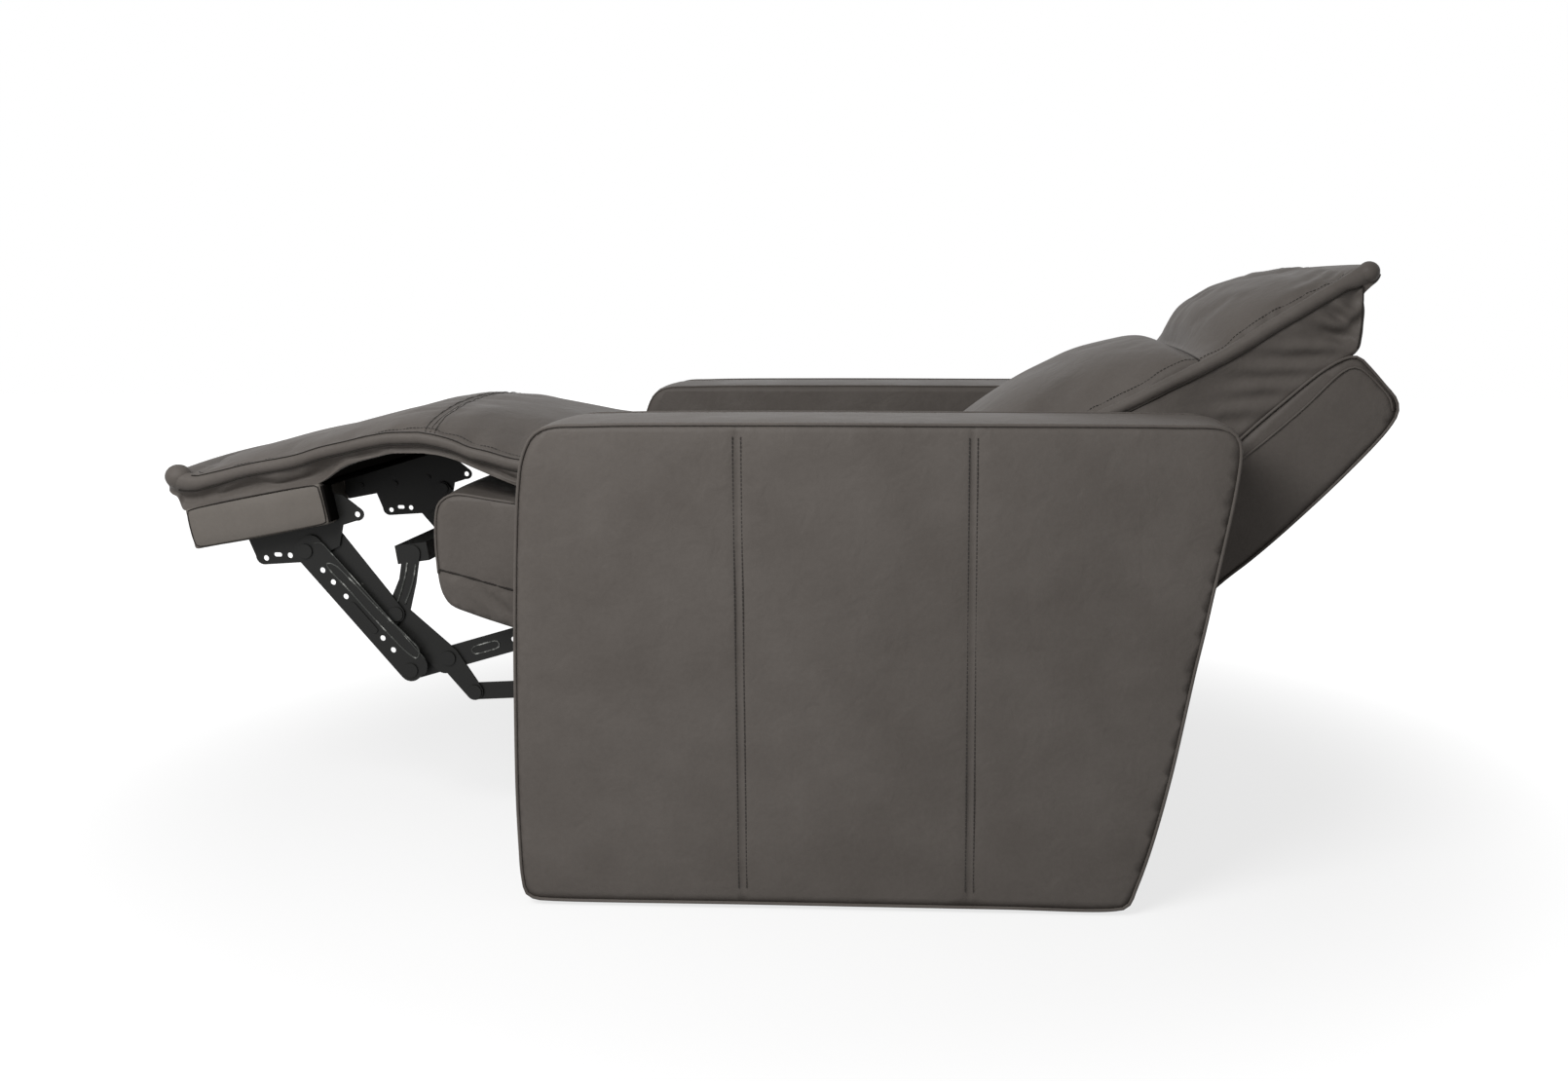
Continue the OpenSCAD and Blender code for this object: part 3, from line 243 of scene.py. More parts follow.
# %% Finishes of the frame and the mechanism
def steel(name, paint, bright, rub, roughness):
    """Paint over steel: bare metal shows where a slow pattern says that it has rubbed off."""
    material, tree, place = plain_material(name)
    scuff = add_node(tree, "ShaderNodeTexNoise", Vector=place, Scale=1 / (22 * MM), Detail=6.0, Roughness=0.7)
    worn = add_node(tree, "ShaderNodeMapRange", Value=scuff.outputs["Fac"], From_Min=rub, From_Max=rub + 0.12)
    haze = add_node(tree, "ShaderNodeTexNoise", Vector=place, Scale=1 / (3 * MM), Detail=3.0)
    tint = add_node(tree, "ShaderNodeMix", {"data_type": "RGBA"},
                    in0=worn.outputs[0], in6=colour(paint), in7=colour(bright))
    rough = add_node(tree, "ShaderNodeMapRange", Value=haze.outputs["Fac"],
                     To_Min=roughness - 0.1, To_Max=roughness + 0.1)
    dents = add_node(tree, "ShaderNodeBump", Height=haze.outputs["Fac"], Strength=0.15, Distance=0.2 * MM)
    metal = add_node(tree, "ShaderNodeBsdfPrincipled", Base_Color=tint.outputs[2], Roughness=rough.outputs[0],
                     Metallic=worn.outputs[0], Specular_IOR_Level=0.2, Normal=dents.outputs[0])
    add_node(tree, "ShaderNodeOutputMaterial", Surface=metal.outputs[0])
    return material


def plain_finish(name, light, dark, patch, roughness, height, specular=0.4):
    """Moulded or woven stuff: two close shades in patches of a real size, and a fine relief."""
    material, tree, place = plain_material(name)
    pattern = add_node(tree, "ShaderNodeTexNoise", Vector=place, Scale=1 / patch, Detail=5.0)
    tint = add_node(tree, "ShaderNodeMix", {"data_type": "RGBA"},
                    in0=pattern.outputs["Fac"], in6=colour(dark), in7=colour(light))
    bumps = add_node(tree, "ShaderNodeBump", Height=pattern.outputs["Fac"], Strength=0.4, Distance=height)
    stuff = add_node(tree, "ShaderNodeBsdfPrincipled", Base_Color=tint.outputs[2], Roughness=roughness,
                     Specular_IOR_Level=specular, Normal=bumps.outputs[0])
    add_node(tree, "ShaderNodeOutputMaterial", Surface=stuff.outputs[0])
    return material


def plywood(name):
    """Rings drawn out along the boards."""
    material, tree, place = plain_material(name)
    long_way = add_node(tree, "ShaderNodeMapping", Vector=place, Scale=(1.0, 0.12, 1.0))
    rings = add_node(tree, "ShaderNodeTexNoise",
                     Vector=long_way.outputs[0], Scale=1 / (7 * MM), Detail=4.0, Distortion=1.2)
    tint = add_node(tree, "ShaderNodeMix", {"data_type": "RGBA"},
                    in0=rings.outputs["Fac"], in6=colour("#B8905C"), in7=colour("#D9BC8C"))
    grain = add_node(tree, "ShaderNodeBump", Height=rings.outputs["Fac"], Strength=0.3, Distance=0.3 * MM)
    board = add_node(tree, "ShaderNodeBsdfPrincipled",
                     Base_Color=tint.outputs[2], Roughness=0.7, Normal=grain.outputs[0])
    add_node(tree, "ShaderNodeOutputMaterial", Surface=board.outputs[0])
    return material


def webbing_cloth(name):
    """Ribs across the band, wider than real threads so that they show."""
    material, tree, place = plain_material(name)
    threads = add_node(tree, "ShaderNodeTexWave", {"wave_type": "BANDS", "bands_direction": "Y"},
                       Vector=place, Scale=1 / (8 * MM), Distortion=0.4)
    tint = add_node(tree, "ShaderNodeMix", {"data_type": "RGBA"},
                    in0=threads.outputs["Fac"], in6=colour("#18181A"), in7=colour("#2E2E31"))
    ribs = add_node(tree, "ShaderNodeBump", Height=threads.outputs["Fac"], Strength=0.6, Distance=0.4 * MM)
    cloth = add_node(tree, "ShaderNodeBsdfPrincipled",
                     Base_Color=tint.outputs[2], Roughness=0.85, Normal=ribs.outputs[0])
    add_node(tree, "ShaderNodeOutputMaterial", Surface=cloth.outputs[0])
    return material


print("ready: leather, steel, plain, plywood and webbing")

# %% Each solid gets the finish of its real material
FINISH = {
    "leather": HIDE,
    # Stamped sheet under thin paint: dark and even, with bright specks where it has rubbed off
    "black_steel": steel("black painted pressed steel", "#1B1B1A", "#70716D", 0.68, 0.40),
    # Turned steel from a zinc bath: light grey with soft clouds
    "bare_steel": steel("zinc plated steel", "#8E9094", "#B6B8BA", 0.5, 0.3),
    # Sanded veneer: pale brown streaks along the board
    "wood": plywood("plywood"),
    # Moulded in an etched mould: nearly black and dull
    "black_plastic": plain_finish("moulded black plastic", "#26262A", "#1B1B1E", 4 * MM, 0.55, 0.15 * MM),
    # Moulded in a polished mould: a clear highlight on each button
    "button_plastic": plain_finish("polished black plastic", "#303034", "#26262A", 9 * MM, 0.22, 0.02 * MM,
                                   0.5),
    # Cut from a foamed block: cream, dull and finely pitted
    "foam": plain_finish("cream upholstery foam", "#EFE3BC", "#DCCB9C", 5 * MM, 0.95, 0.6 * MM, 0.1),
    # Woven with rubber threads: black, with ribs across the band
    "webbing": webbing_cloth("elastic black webbing"),
}
# Twisted and bonded polyester: darker than the hide, with a faint sheen
THREAD = plain_finish("bonded grey thread", "#3A3633", "#2B2825", 2 * MM, 0.6, 0.1 * MM, 0.3)
# The raised edges of pressed sheet, half black, half bare where the paint goes first; their black is lighter
# than the links' own paint, a painted highlight along the edges
RUBBED_STEEL_AND_HIGHLIGHT = steel("pressed steel rubbed bright", "#3C3D3B", "#8E8F8B", 0.52, 0.42)
# Thin woven cloth: black, and without any shine
DUST_CLOTH = plain_finish("black dust cloth", "#1A1817", "#100F0E", 3 * MM, 0.95, 0.4 * MM, 0.0)


def give_finish(solid, finish):
    for place in range(len(solid.material_slots)):
        solid.material_slots[place].material = finish


for subpart in frame["record"]["subparts"]:
    give_finish(frame["nodes"][subpart["node"]], FINISH[subpart["material_slot"]])
# The plywood across the back is wrapped in black cloth: its top shows when the head cushion tilts
give_finish(frame["nodes"]["back_panel"], DUST_CLOTH)
print("finishes on the solids:", sorted(FINISH))

# %% [markdown]
# ## Small tools for sewn work
# Every sewn piece below is a mesh built from rows of points. A few short tools are shared: one makes
# an object from points and faces, one closes it and turns its faces outwards, one draws a smooth line
# through measured places, and one sweeps a round cord along such a line, which is how piping is made:
# a strip of hide folded over a cord and caught in the seam.

# %% Tools: pieces, their faces and their modifiers
def make_piece(name, points, faces, finish):
    mesh = bpy.data.meshes.new(name)
    mesh.from_pydata([tuple(float(c) for c in p) for p in points], [],
                     [tuple(int(i) for i in f) for f in faces])
    mesh.materials.append(finish)
    tidy_mesh(mesh)
    return put_in_scene(name, mesh)


def tidy_mesh(mesh, weld=0.05 * MM):
    """Welds the meeting edges, turns all faces outwards and shades them smooth."""
    work = bmesh.new()
    work.from_mesh(mesh)
    bmesh.ops.remove_doubles(work, verts=work.verts, dist=weld)
    bmesh.ops.recalc_face_normals(work, faces=work.faces)
    for face in work.faces:
        face.smooth = True
    work.to_mesh(mesh)
    work.free()


def join_pieces(first, *others):
    """Adds the others' meshes, with their materials, to the first piece and removes the others."""
    work = bmesh.new()
    finishes = []
    for piece in (first, *others):
        start = len(work.faces)
        for finish in piece.data.materials:
            if finish not in finishes:
                finishes.append(finish)
        work.from_mesh(piece.data)
        work.faces.ensure_lookup_table()
        for face in work.faces[start:]:
            face.material_index = finishes.index(piece.data.materials[face.material_index])
    first.data.materials.clear()
    for finish in finishes:
        first.data.materials.append(finish)
    work.to_mesh(first.data)
    work.free()
    for piece in others:
        bpy.data.meshes.remove(piece.data)
    return first


def quads(rows, row, ends_meet=False, sides_meet=False):
    """Faces between the rows of a grid of points. It may close on itself in either direction."""
    faces = []
    for i in range(rows if ends_meet else rows - 1):
        j = (i + 1) % rows
        for k in range(row if sides_meet else row - 1):
            n = (k + 1) % row
            faces.append((i * row + k, i * row + n, j * row + n, j * row + k))
    return faces


def apply_modifier(piece, modifier):
    """Keeps the shape that a modifier gives the piece, and removes the modifier."""
    ready = piece.evaluated_get(bpy.context.evaluated_depsgraph_get())
    mesh = bpy.data.meshes.new_from_object(ready)
    piece.modifiers.remove(modifier)
    before = piece.data
    piece.data = mesh
    bpy.data.meshes.remove(before)


print("mesh tools ready; a closed grid of 4 by 6 points has", len(quads(4, 6, True, True)), "faces")

# %% Tools: smooth lines and their directions
LINE_STEPS = 24     # short straight steps between two measured places


def bend(t, start, leave, end, arrive):
    """A place between two others on a smooth curve, from the directions in which it leaves and arrives."""
    return ((2 * t**3 - 3 * t**2 + 1) * start + (t**3 - 2 * t**2 + t) * leave
            + (3 * t**2 - 2 * t**3) * end + (t**3 - t**2) * arrive)


def smooth_line(places, spacing, closed=False):
    """A smooth line through the places, as points at an even spacing."""
    places = np.array(places, float)
    count = len(places)
    spans = count if closed else count - 1
    dense = []
    for i in range(spans):
        if closed:
            a, b, c, d = (places[(i + k) % count] for k in (-1, 0, 1, 2))
        else:
            b, c = places[i], places[i + 1]
            a = places[i - 1] if i else 2 * b - c
            d = places[i + 2] if i + 2 < count else 2 * c - b
        reach = [max(np.linalg.norm(q - p), 1e-9) ** 0.5 for p, q in ((a, b), (b, c), (c, d))]
        leave = (c - b) / reach[1] - (c - a) / (reach[0] + reach[1]) + (b - a) / reach[0]
        arrive = (d - c) / reach[2] - (d - b) / (reach[1] + reach[2]) + (c - b) / reach[1]
        leave, arrive = leave * reach[1], arrive * reach[1]
        for t in np.linspace(0, 1, LINE_STEPS, endpoint=False):
            dense.append(bend(t, b, leave, c, arrive))
    dense.append(places[0] if closed else places[-1])
    dense = np.array(dense)
    along = np.concatenate([[0], np.cumsum(np.linalg.norm(np.diff(dense, axis=0), axis=1))])
    steps = max(3, int(round(along[-1] / spacing)))
    marks = np.linspace(0, along[-1], steps if closed else steps + 1, endpoint=not closed)
    return np.stack([np.interp(marks, along, dense[:, k]) for k in range(dense.shape[1])], axis=1)


def measured_line(table, spacing, closed=False):
    """A smooth flat line through places given in millimetres."""
    return smooth_line([(a * MM, b * MM) for a, b in table], spacing, closed)


def outward(line):
    """At each point of a closed flat line, the direction that points away from what it encloses."""
    ahead = np.roll(line, -1, axis=0) - np.roll(line, 1, axis=0)
    ahead /= np.linalg.norm(ahead, axis=1)[:, None]
    away = np.stack([-ahead[:, 1], ahead[:, 0]], axis=1)
    return away if ((line - line.mean(axis=0)) * away).sum() > 0 else -away


def curve_value(table, column):
    """A smooth curve through one column of a table of [place, ...] rows, as a function of the place."""
    rows = sorted(table)
    x = np.array([r[0] for r in rows], float)
    y = np.array([r[column] for r in rows], float)
    h, step = np.diff(x), np.diff(y) / np.diff(x)
    slope = np.zeros(len(x))
    slope[0], slope[-1] = step[0], step[-1]
    for i in range(1, len(x) - 1):
        if step[i - 1] * step[i] > 0:
            w1, w2 = 2 * h[i] + h[i - 1], h[i] + 2 * h[i - 1]
            slope[i] = (w1 + w2) / (w1 / step[i - 1] + w2 / step[i])

    def value(place):
        place = min(max(place, x[0]), x[-1])
        i = min(int(np.searchsorted(x, place, side="right")) - 1, len(x) - 2)
        return bend((place - x[i]) / h[i], y[i], h[i] * slope[i], y[i + 1], h[i] * slope[i + 1])
    return value


print("a line of 2 m with a point every 0.5 m has", len(smooth_line([(0, 0), (1, 0), (2, 0)], 0.5)), "points")

# %% Tool: piping
def piping(name, line, radius, finish=HIDE, closed=False, sides=8):
    """A round cord swept along a line. Its ends are closed to a point, as tied-off piping is."""
    line = np.array(line, float)
    count = len(line)
    ahead = np.roll(line, -1, axis=0) - np.roll(line, 1, axis=0)
    if not closed:
        ahead[0], ahead[-1] = line[1] - line[0], line[-1] - line[-2]
    ahead /= np.linalg.norm(ahead, axis=1)[:, None]
    side = np.cross(ahead[0], (0.31, 0.52, 0.79))       # any direction that the line doesn't run in
    points = []
    for i in range(count):
        side = side - ahead[i] * side.dot(ahead[i])
        side /= np.linalg.norm(side)
        up = np.cross(ahead[i], side)
        for k in range(sides):
            a = 2 * math.pi * k / sides
            points.append(line[i] + radius * (math.cos(a) * side + math.sin(a) * up))
    faces = quads(count, sides, closed, True)
    if not closed:
        points += [line[0], line[-1]]
        last = (count - 1) * sides
        for k in range(sides):
            n = (k + 1) % sides
            faces.append((n, k, count * sides))
            faces.append((last + k, last + n, count * sides + 1))
    return make_piece(name, points, faces, finish)


print("sewing tools ready")

# %% [markdown]
# ## Stitches
# A lockstitch shows as a row of short, slightly raised dashes along each side of a seam. The same dash
# repeats along a line, which is work for Geometry Nodes: the seam line is resampled at the stitch
# length, a small dash is placed at each point along the line's direction, and the instances are made
# real so that they can be exported.

# %% A stitch row, built with Geometry Nodes
STITCH = 5.0 * MM       # one stitch and its gap
THREAD_R = 0.55 * MM


def stitch_tree():
    tree = bpy.data.node_groups.new("stitch row", "GeometryNodeTree")
    tree.interface.new_socket("Seam", in_out="INPUT", socket_type="NodeSocketGeometry")
    for name, start in (("Stitch pitch", STITCH), ("Dash length", 3.4 * MM), ("Thread radius", THREAD_R)):
        tree.interface.new_socket(name, in_out="INPUT", socket_type="NodeSocketFloat").default_value = start
    tree.interface.new_socket("Finish", in_out="INPUT", socket_type="NodeSocketMaterial")
    tree.interface.new_socket("Stitches", in_out="OUTPUT", socket_type="NodeSocketGeometry")
    given = add_node(tree, "NodeGroupInput")
    line = add_node(tree, "GeometryNodeMeshToCurve", in0=given.outputs["Seam"])
    places = add_node(tree, "GeometryNodeResampleCurve", {"mode": "LENGTH"}, Curve=line.outputs[0],
                      Length=given.outputs["Stitch pitch"])
    points = add_node(tree, "GeometryNodeCurveToPoints", {"mode": "EVALUATED"}, Curve=places.outputs[0])
    turn = add_node(tree, "FunctionNodeAlignRotationToVector", {"axis": "Z"},
                    Vector=points.outputs["Tangent"])
    dash = add_node(tree, "GeometryNodeMeshCylinder", Vertices=6, Radius=given.outputs["Thread radius"],
                    Depth=given.outputs["Dash length"])
    rows = add_node(tree, "GeometryNodeInstanceOnPoints", Points=points.outputs[0], Instance=dash.outputs[0],
                    Rotation=turn.outputs[0])
    real = add_node(tree, "GeometryNodeRealizeInstances", in0=rows.outputs[0])
    painted = add_node(tree, "GeometryNodeSetMaterial", Geometry=real.outputs[0],
                       Material=given.outputs["Finish"])
    add_node(tree, "NodeGroupOutput", in0=painted.outputs[0])
    return tree


STITCHES = stitch_tree()


def run_nodes(name, seed_mesh, tree, values):
    """Runs a node tree on a seed mesh and returns its result as a plain mesh piece."""
    piece = put_in_scene(name, seed_mesh)
    modifier = piece.modifiers.new("nodes", "NODES")
    modifier.node_group = tree
    for item in tree.interface.items_tree:
        if item.item_type == "SOCKET" and item.in_out == "INPUT" and item.name in values:
            modifier[item.identifier] = values[item.name]
    apply_modifier(piece, modifier)
    return piece


def stitch_rows(name, lines, body, radius=THREAD_R):
    """Stitches along several lines, as one piece that rides on a body."""
    seed = bpy.data.meshes.new(name + "_seed")
    points, edges = [], []
    for line in lines:
        edges += [(len(points) + i, len(points) + i + 1) for i in range(len(line) - 1)]
        points += [tuple(float(c) for c in p) for p in line]
    seed.from_pydata(points, edges, [])
    piece = run_nodes(name, seed, STITCHES, {"Thread radius": radius, "Finish": THREAD})
    if body:
        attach(piece, body)
    print(name, len(piece.data.polygons), "faces")
    return piece


print("stitch tree:", [item.name for item in STITCHES.interface.items_tree])

# %% [markdown]
# ## The arms
# Each arm is a wooden frame padded with thin foam. Two side panels of hide are joined by a band that
# runs up the front, over the top and down the rear, and the band is crowned because the foam pushes it
# out between the two seams. The outer panel is sewn from three pieces, with a row of stitches on each
# side of both joins. The panel is filled with triangles between its outline and its seams, because a
# shape with round corners and straight joins has no natural rows and columns.

# %% The arm's outline and how its padding swells
ARM_FACE = [(-288, 16), (-293, 40), (-294.5, 76), (-295.5, 139), (-294.5, 214), (-289.5, 386), (-280.5, 530),
            (-274.5, 565), (-261.5, 591), (-243.5, 601), (-196.5, 604), (0, 606), (300, 606), (500, 605.5),
            (557, 603.5), (572.5, 596), (579, 580), (548.5, 386), (533.5, 311), (508.5, 178), (487.5, 90),
            (471.5, 39), (461, 14), (446, 9.5), (300, 9), (0, 9), (-264, 9), (-279, 10.5)]
ARM_OUTER_X = 0.4835
ARM_INNER_X = 0.2862
ARM_SEAMS = (-0.0155, 0.2665)
ARM_TOP_SWELL, ARM_END_SWELL, ARM_FOOT_SWELL = 3.5 * MM, 8.5 * MM, 0.6 * MM

arm_line = measured_line(ARM_FACE, 9 * MM, closed=True)
arm_out = outward(arm_line)
print("arm outline:", len(arm_line), "points")


def bell(off, reach):
    """1 at a place, fading to nothing on both sides of it."""
    return np.exp(-(off / reach) ** 2)


def ramp(far, reach):
    """From 0 at an edge up to 1 at some distance from it, and 1 beyond."""
    return np.clip(far / reach, 0, 1)


def crowded_steps(count):
    """Steps from -1 to 1 that lie closer together at both ends, where a crowned panel curves most."""
    return [-math.cos(math.pi * k / count) for k in range(count + 1)]


def distance_to_line(points, line):
    """Distance of each flat point to the nearest part of a closed line."""
    nxt = np.roll(line, -1, axis=0)
    best = np.full(len(points), 9.0)
    for a, b in zip(line, nxt):
        run = b - a
        t = np.clip(((points - a) @ run) / max(run @ run, 1e-12), 0, 1)
        best = np.minimum(best, np.linalg.norm(points - (a + t[:, None] * run), axis=1))
    return best


def inside(points, line):
    """Which flat points lie inside a closed line."""
    nxt = np.roll(line, -1, axis=0)
    hit = np.zeros(len(points), bool)
    for a, b in zip(line, nxt):
        crosses = (a[1] > points[:, 1]) != (b[1] > points[:, 1])
        with np.errstate(divide="ignore", invalid="ignore"):
            where = a[0] + (points[:, 1] - a[1]) / (b[1] - a[1]) * (b[0] - a[0])
        hit ^= crosses & (points[:, 0] < where)
    return hit


WAVE_HEIGHT = 0.7 * MM


def slow_wave(points, size, seed):
    """A gentle, repeatable unevenness, as thin foam under hide has."""
    rng = np.random.default_rng(seed)
    limits = ((0, math.pi), (0, 2 * math.pi), (0.7, 1.6))
    turns, phases, stretches = (rng.uniform(low, high, 9) for low, high in limits)
    total = np.zeros(len(points))
    for turn, phase, stretch in zip(turns, phases, stretches):
        run = points[:, 0] * math.cos(turn) + points[:, 1] * math.sin(turn)
        total += np.sin(run * 2 * math.pi / (size * stretch) + phase)
    return total * WAVE_HEIGHT / 3


on_seams = np.array([(seam, 0.3) for seam in ARM_SEAMS])
print("the arm's outline encloses its seams:", inside(on_seams, arm_line))

# %% Filling a flat panel of hide
SEAM_SINK = 1.5 * MM


def fill_panel(line, seams=(), window=None, pitch=13 * MM):
    """Points and triangles of a flat panel inside a closed line, finer along its upright seams."""
    low, high = line.min(axis=0), line.max(axis=0)
    extra = []
    columns = [seam + off * MM for seam in seams for off in (-7, -2.5, 0, 2.5, 7)]
    for x in columns:
        extra += [(x, z) for z in np.arange(low[1] + 5 * MM, high[1], 9 * MM)]
    for row, z in enumerate(np.arange(low[1], high[1], pitch * 0.87)):
        extra += [(x, z) for x in np.arange(low[0] + (row % 2) * pitch / 2, high[0], pitch)
                  if all(abs(x - c) > 5 * MM for c in columns)]
    extra = np.array(extra)
    extra = extra[inside(extra, line)]
    extra = extra[distance_to_line(extra, line) > 4 * MM]
    edges = [(i, (i + 1) % len(line)) for i in range(len(line))]
    rims = [line]
    if window is not None:
        extra = extra[~inside(extra, window)]
        extra = extra[distance_to_line(extra, window) > 3 * MM]
        edges += [(len(line) + i, len(line) + (i + 1) % len(window)) for i in range(len(window))]
        rims.append(window)
    flat = np.concatenate(rims + [extra])
    out = delaunay_2d_cdt([Vector(p) for p in flat], edges, [], 1, 1e-6)
    points = np.array([tuple(p) for p in out[0]])
    faces = [tuple(f) for f in out[2]]
    if window is not None:
        middle = np.array([points[list(f)].mean(axis=0) for f in faces])
        faces = [f for f, gone in zip(faces, inside(middle, window)) if not gone]
    return points, faces


print("panel filling ready, seams sink", round(SEAM_SINK / MM, 1), "mm")

# %% The arm's panels and its crowned band
PANEL_PUFF = 2.6 * MM
BAND_STEPS = 18


def arm_panel(side, outer, window):
    """A padded side panel. The outer one sinks along its seams and lies flat round its window."""
    flat, faces = fill_panel(arm_line, ARM_SEAMS if outer else (), window)
    far = distance_to_line(flat, arm_line)
    puff = PANEL_PUFF * (1 - np.exp(-far / (14 * MM)))
    if outer:
        for seam in ARM_SEAMS:
            off = np.abs(flat[:, 0] - seam)
            puff -= SEAM_SINK * bell(off, 3.0 * MM) * ramp(far, 6 * MM)
            puff -= 0.9 * MM * np.exp(-off / (12 * MM)) * ramp(far, 20 * MM)
        puff += slow_wave(flat, 0.16, 4) * ramp(far, 60 * MM)
        if window is not None:
            puff *= 1 - np.exp(-distance_to_line(flat, window) / (10 * MM))
        x = ARM_OUTER_X + puff
    else:
        x = ARM_INNER_X - 0.3 * puff
    return make_piece("arm panel", np.column_stack([side * x, flat]), faces, HIDE)


def arm_band(side):
    """The crowned band between the two panels, fullest at the front and the rear."""
    points = []
    across = crowded_steps(BAND_STEPS)
    for (y, z), (ny, nz) in zip(arm_line, arm_out):
        up, down = max(nz, 0.0), max(-nz, 0.0)
        swell = ARM_TOP_SWELL * up ** 1.5 + ARM_END_SWELL * abs(ny) ** 1.5 + ARM_FOOT_SWELL * down
        rear_edge = 0.35 if ny > 0.3 and z < 0.56 else 1.0
        for s in across:
            rise = swell * rear_edge * (1 - abs(s) ** 3.2)
            x = (ARM_OUTER_X + ARM_INNER_X) / 2 + s * (ARM_OUTER_X - ARM_INNER_X) / 2
            points.append((side * x, y + ny * rise, z + nz * rise))
    return make_piece("arm band", points, quads(len(arm_line), len(across), ends_meet=True), HIDE)


print("band steps:", BAND_STEPS)

# %% Sewing both arms
def sew_arm(side, window=None):
    """One whole arm: its panels and its band, their welts and the stitches."""
    name = "arm_left" if side > 0 else "arm_right"
    piece = join_pieces(arm_panel(side, True, window), arm_panel(side, False, None), arm_band(side))
    piece.name = name
    tidy_mesh(piece.data, 0.3 * MM)
    outer_edge = [(side * (ARM_OUTER_X + 0.7 * MM), y + ny * 0.9 * MM, z + nz * 0.9 * MM)
                  for (y, z), (ny, nz) in zip(arm_line, arm_out)]
    inner_edge = [(side * (ARM_INNER_X + 0.4 * MM), p[1], p[2]) for p in outer_edge]
    welts = [piping("welt", outer_edge, 2.1 * MM, closed=True),
             piping("welt", inner_edge, 1.4 * MM, closed=True)]
    piece = join_pieces(piece, *welts)
    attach(piece, "base")
    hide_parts("arm_cover_left" if side > 0 else "arm_cover_right")
    face_x = side * (ARM_OUTER_X + PANEL_PUFF - 0.9 * MM)
    rows = [[(face_x, seam + shift, z) for z in np.arange(0.03, 0.595, 0.02)]
            for seam in ARM_SEAMS for shift in (-5 * MM, 5 * MM)]
    stitch_rows(name + "_stitches", rows, "base", 0.9 * MM)
    print(name, len(piece.data.polygons), "faces")


# The control panel shows through a window in the arm on the sitter's right
WINDOW_CORNERS = np.array([(-0.2653, 0.4997), (-0.1147, 0.4997), (-0.1147, 0.5403), (-0.2653, 0.5403)])
PANEL_WINDOW = np.array([start + t * (end - start) for start, end, steps
                         in zip(WINDOW_CORNERS, np.roll(WINDOW_CORNERS, -1, axis=0), (24, 8, 24, 8))
                         for t in np.linspace(0, 1, steps, endpoint=False)])
sew_arm(1)
sew_arm(-1, PANEL_WINDOW)

# %% [markdown]
# ## Crowned cushions
# The chaise pad, the lumbar cushion and the head cushion are made alike. The top panel of each swells
# between two long seams, a padded roll runs outside each seam, and a side panel, or gusset, is drawn in
# below the roll. So they share one recipe: a cross section that is swept along the cushion, with its
# width, underside, roll height and crown read from smooth curves. Afterwards the panels are blown up
# like cloth while the seams stay where they are, which gives the soft bulge and the small pulls.

# %% One cross section of a cushion
UNDER_STEPS, GUSSET_STEPS, CROWN_STEPS = 7, 9, 22
ROLL_ANGLES = [-68, -45, -20, 5, 30, 55, 78, 100]
GUSSET_FULL = 30 * MM       # a lower gusset is drawn in less
SEAM_INDEX = UNDER_STEPS + GUSSET_STEPS + len(ROLL_ANGLES)
HALF_COUNT = SEAM_INDEX + 2 + CROWN_STEPS
RING = 2 * (HALF_COUNT - 1)
MEASURES = ("half", "low", "edge", "crown", "roll", "tuck", "dip")


def cushion_curves(table, sense, usual):
    """A smooth curve along the cushion for each measure, from rows in millimetres. A row begins with its
    place. It may leave out its last measures, roll, tuck and dip, which are the usual ones then."""
    rows = []
    for row in table:
        *lengths, dip = row + usual[len(row) - 5:]
        rows.append([lengths[0] * sense * MM] + [length * MM for length in lengths[1:]] + [dip])
    return {key: curve_value(rows, column) for column, key in enumerate(MEASURES, start=1)}


def half_section(s, shape):
    """One side of the cross section, from the middle of the underside round to the middle of the crown."""
    w, low, edge, crown, roll, tuck, dip = (shape[key](s) for key in MEASURES)
    power = shape["power"](s)

    def on_roll(angle):
        turn = math.radians(angle)
        return (w - roll + roll * math.cos(turn), edge + roll * math.sin(turn))

    points = [((w - tuck) * k / UNDER_STEPS, low) for k in range(UNDER_STEPS)]
    foot = np.array([w - tuck, low - shape["lip"](s)])
    neck = np.array(on_roll(ROLL_ANGLES[0]))
    room = min(1, max(neck[1] - low, 0.001) / GUSSET_FULL)
    for k in range(GUSSET_STEPS):
        t = k / GUSSET_STEPS
        x, z = foot + (neck - foot) * t
        x -= shape["pull"] * math.sin(math.pi * t) * room
        x += shape["folds"](s, t, z) * math.sin(math.pi * t) * room
        points.append((x, z))
    points += [on_roll(angle) for angle in ROLL_ANGLES]
    seam_x = w - roll * 2.0
    seam_z = edge + roll * 0.72
    points.append((w - roll * 1.62, edge + roll * 0.80))
    points.append((seam_x, seam_z - 0.38 * roll * dip))
    for k in range(1, CROWN_STEPS + 1):
        share = math.cos(math.pi / 2 * (k / CROWN_STEPS))
        rise = (1 - share ** 2) ** power
        puckers = shape["puckers"](s, (1 - share) * w)
        points.append((seam_x * share, seam_z + (crown - seam_z) * rise + puckers))
    return points


print("points round one section:", RING)

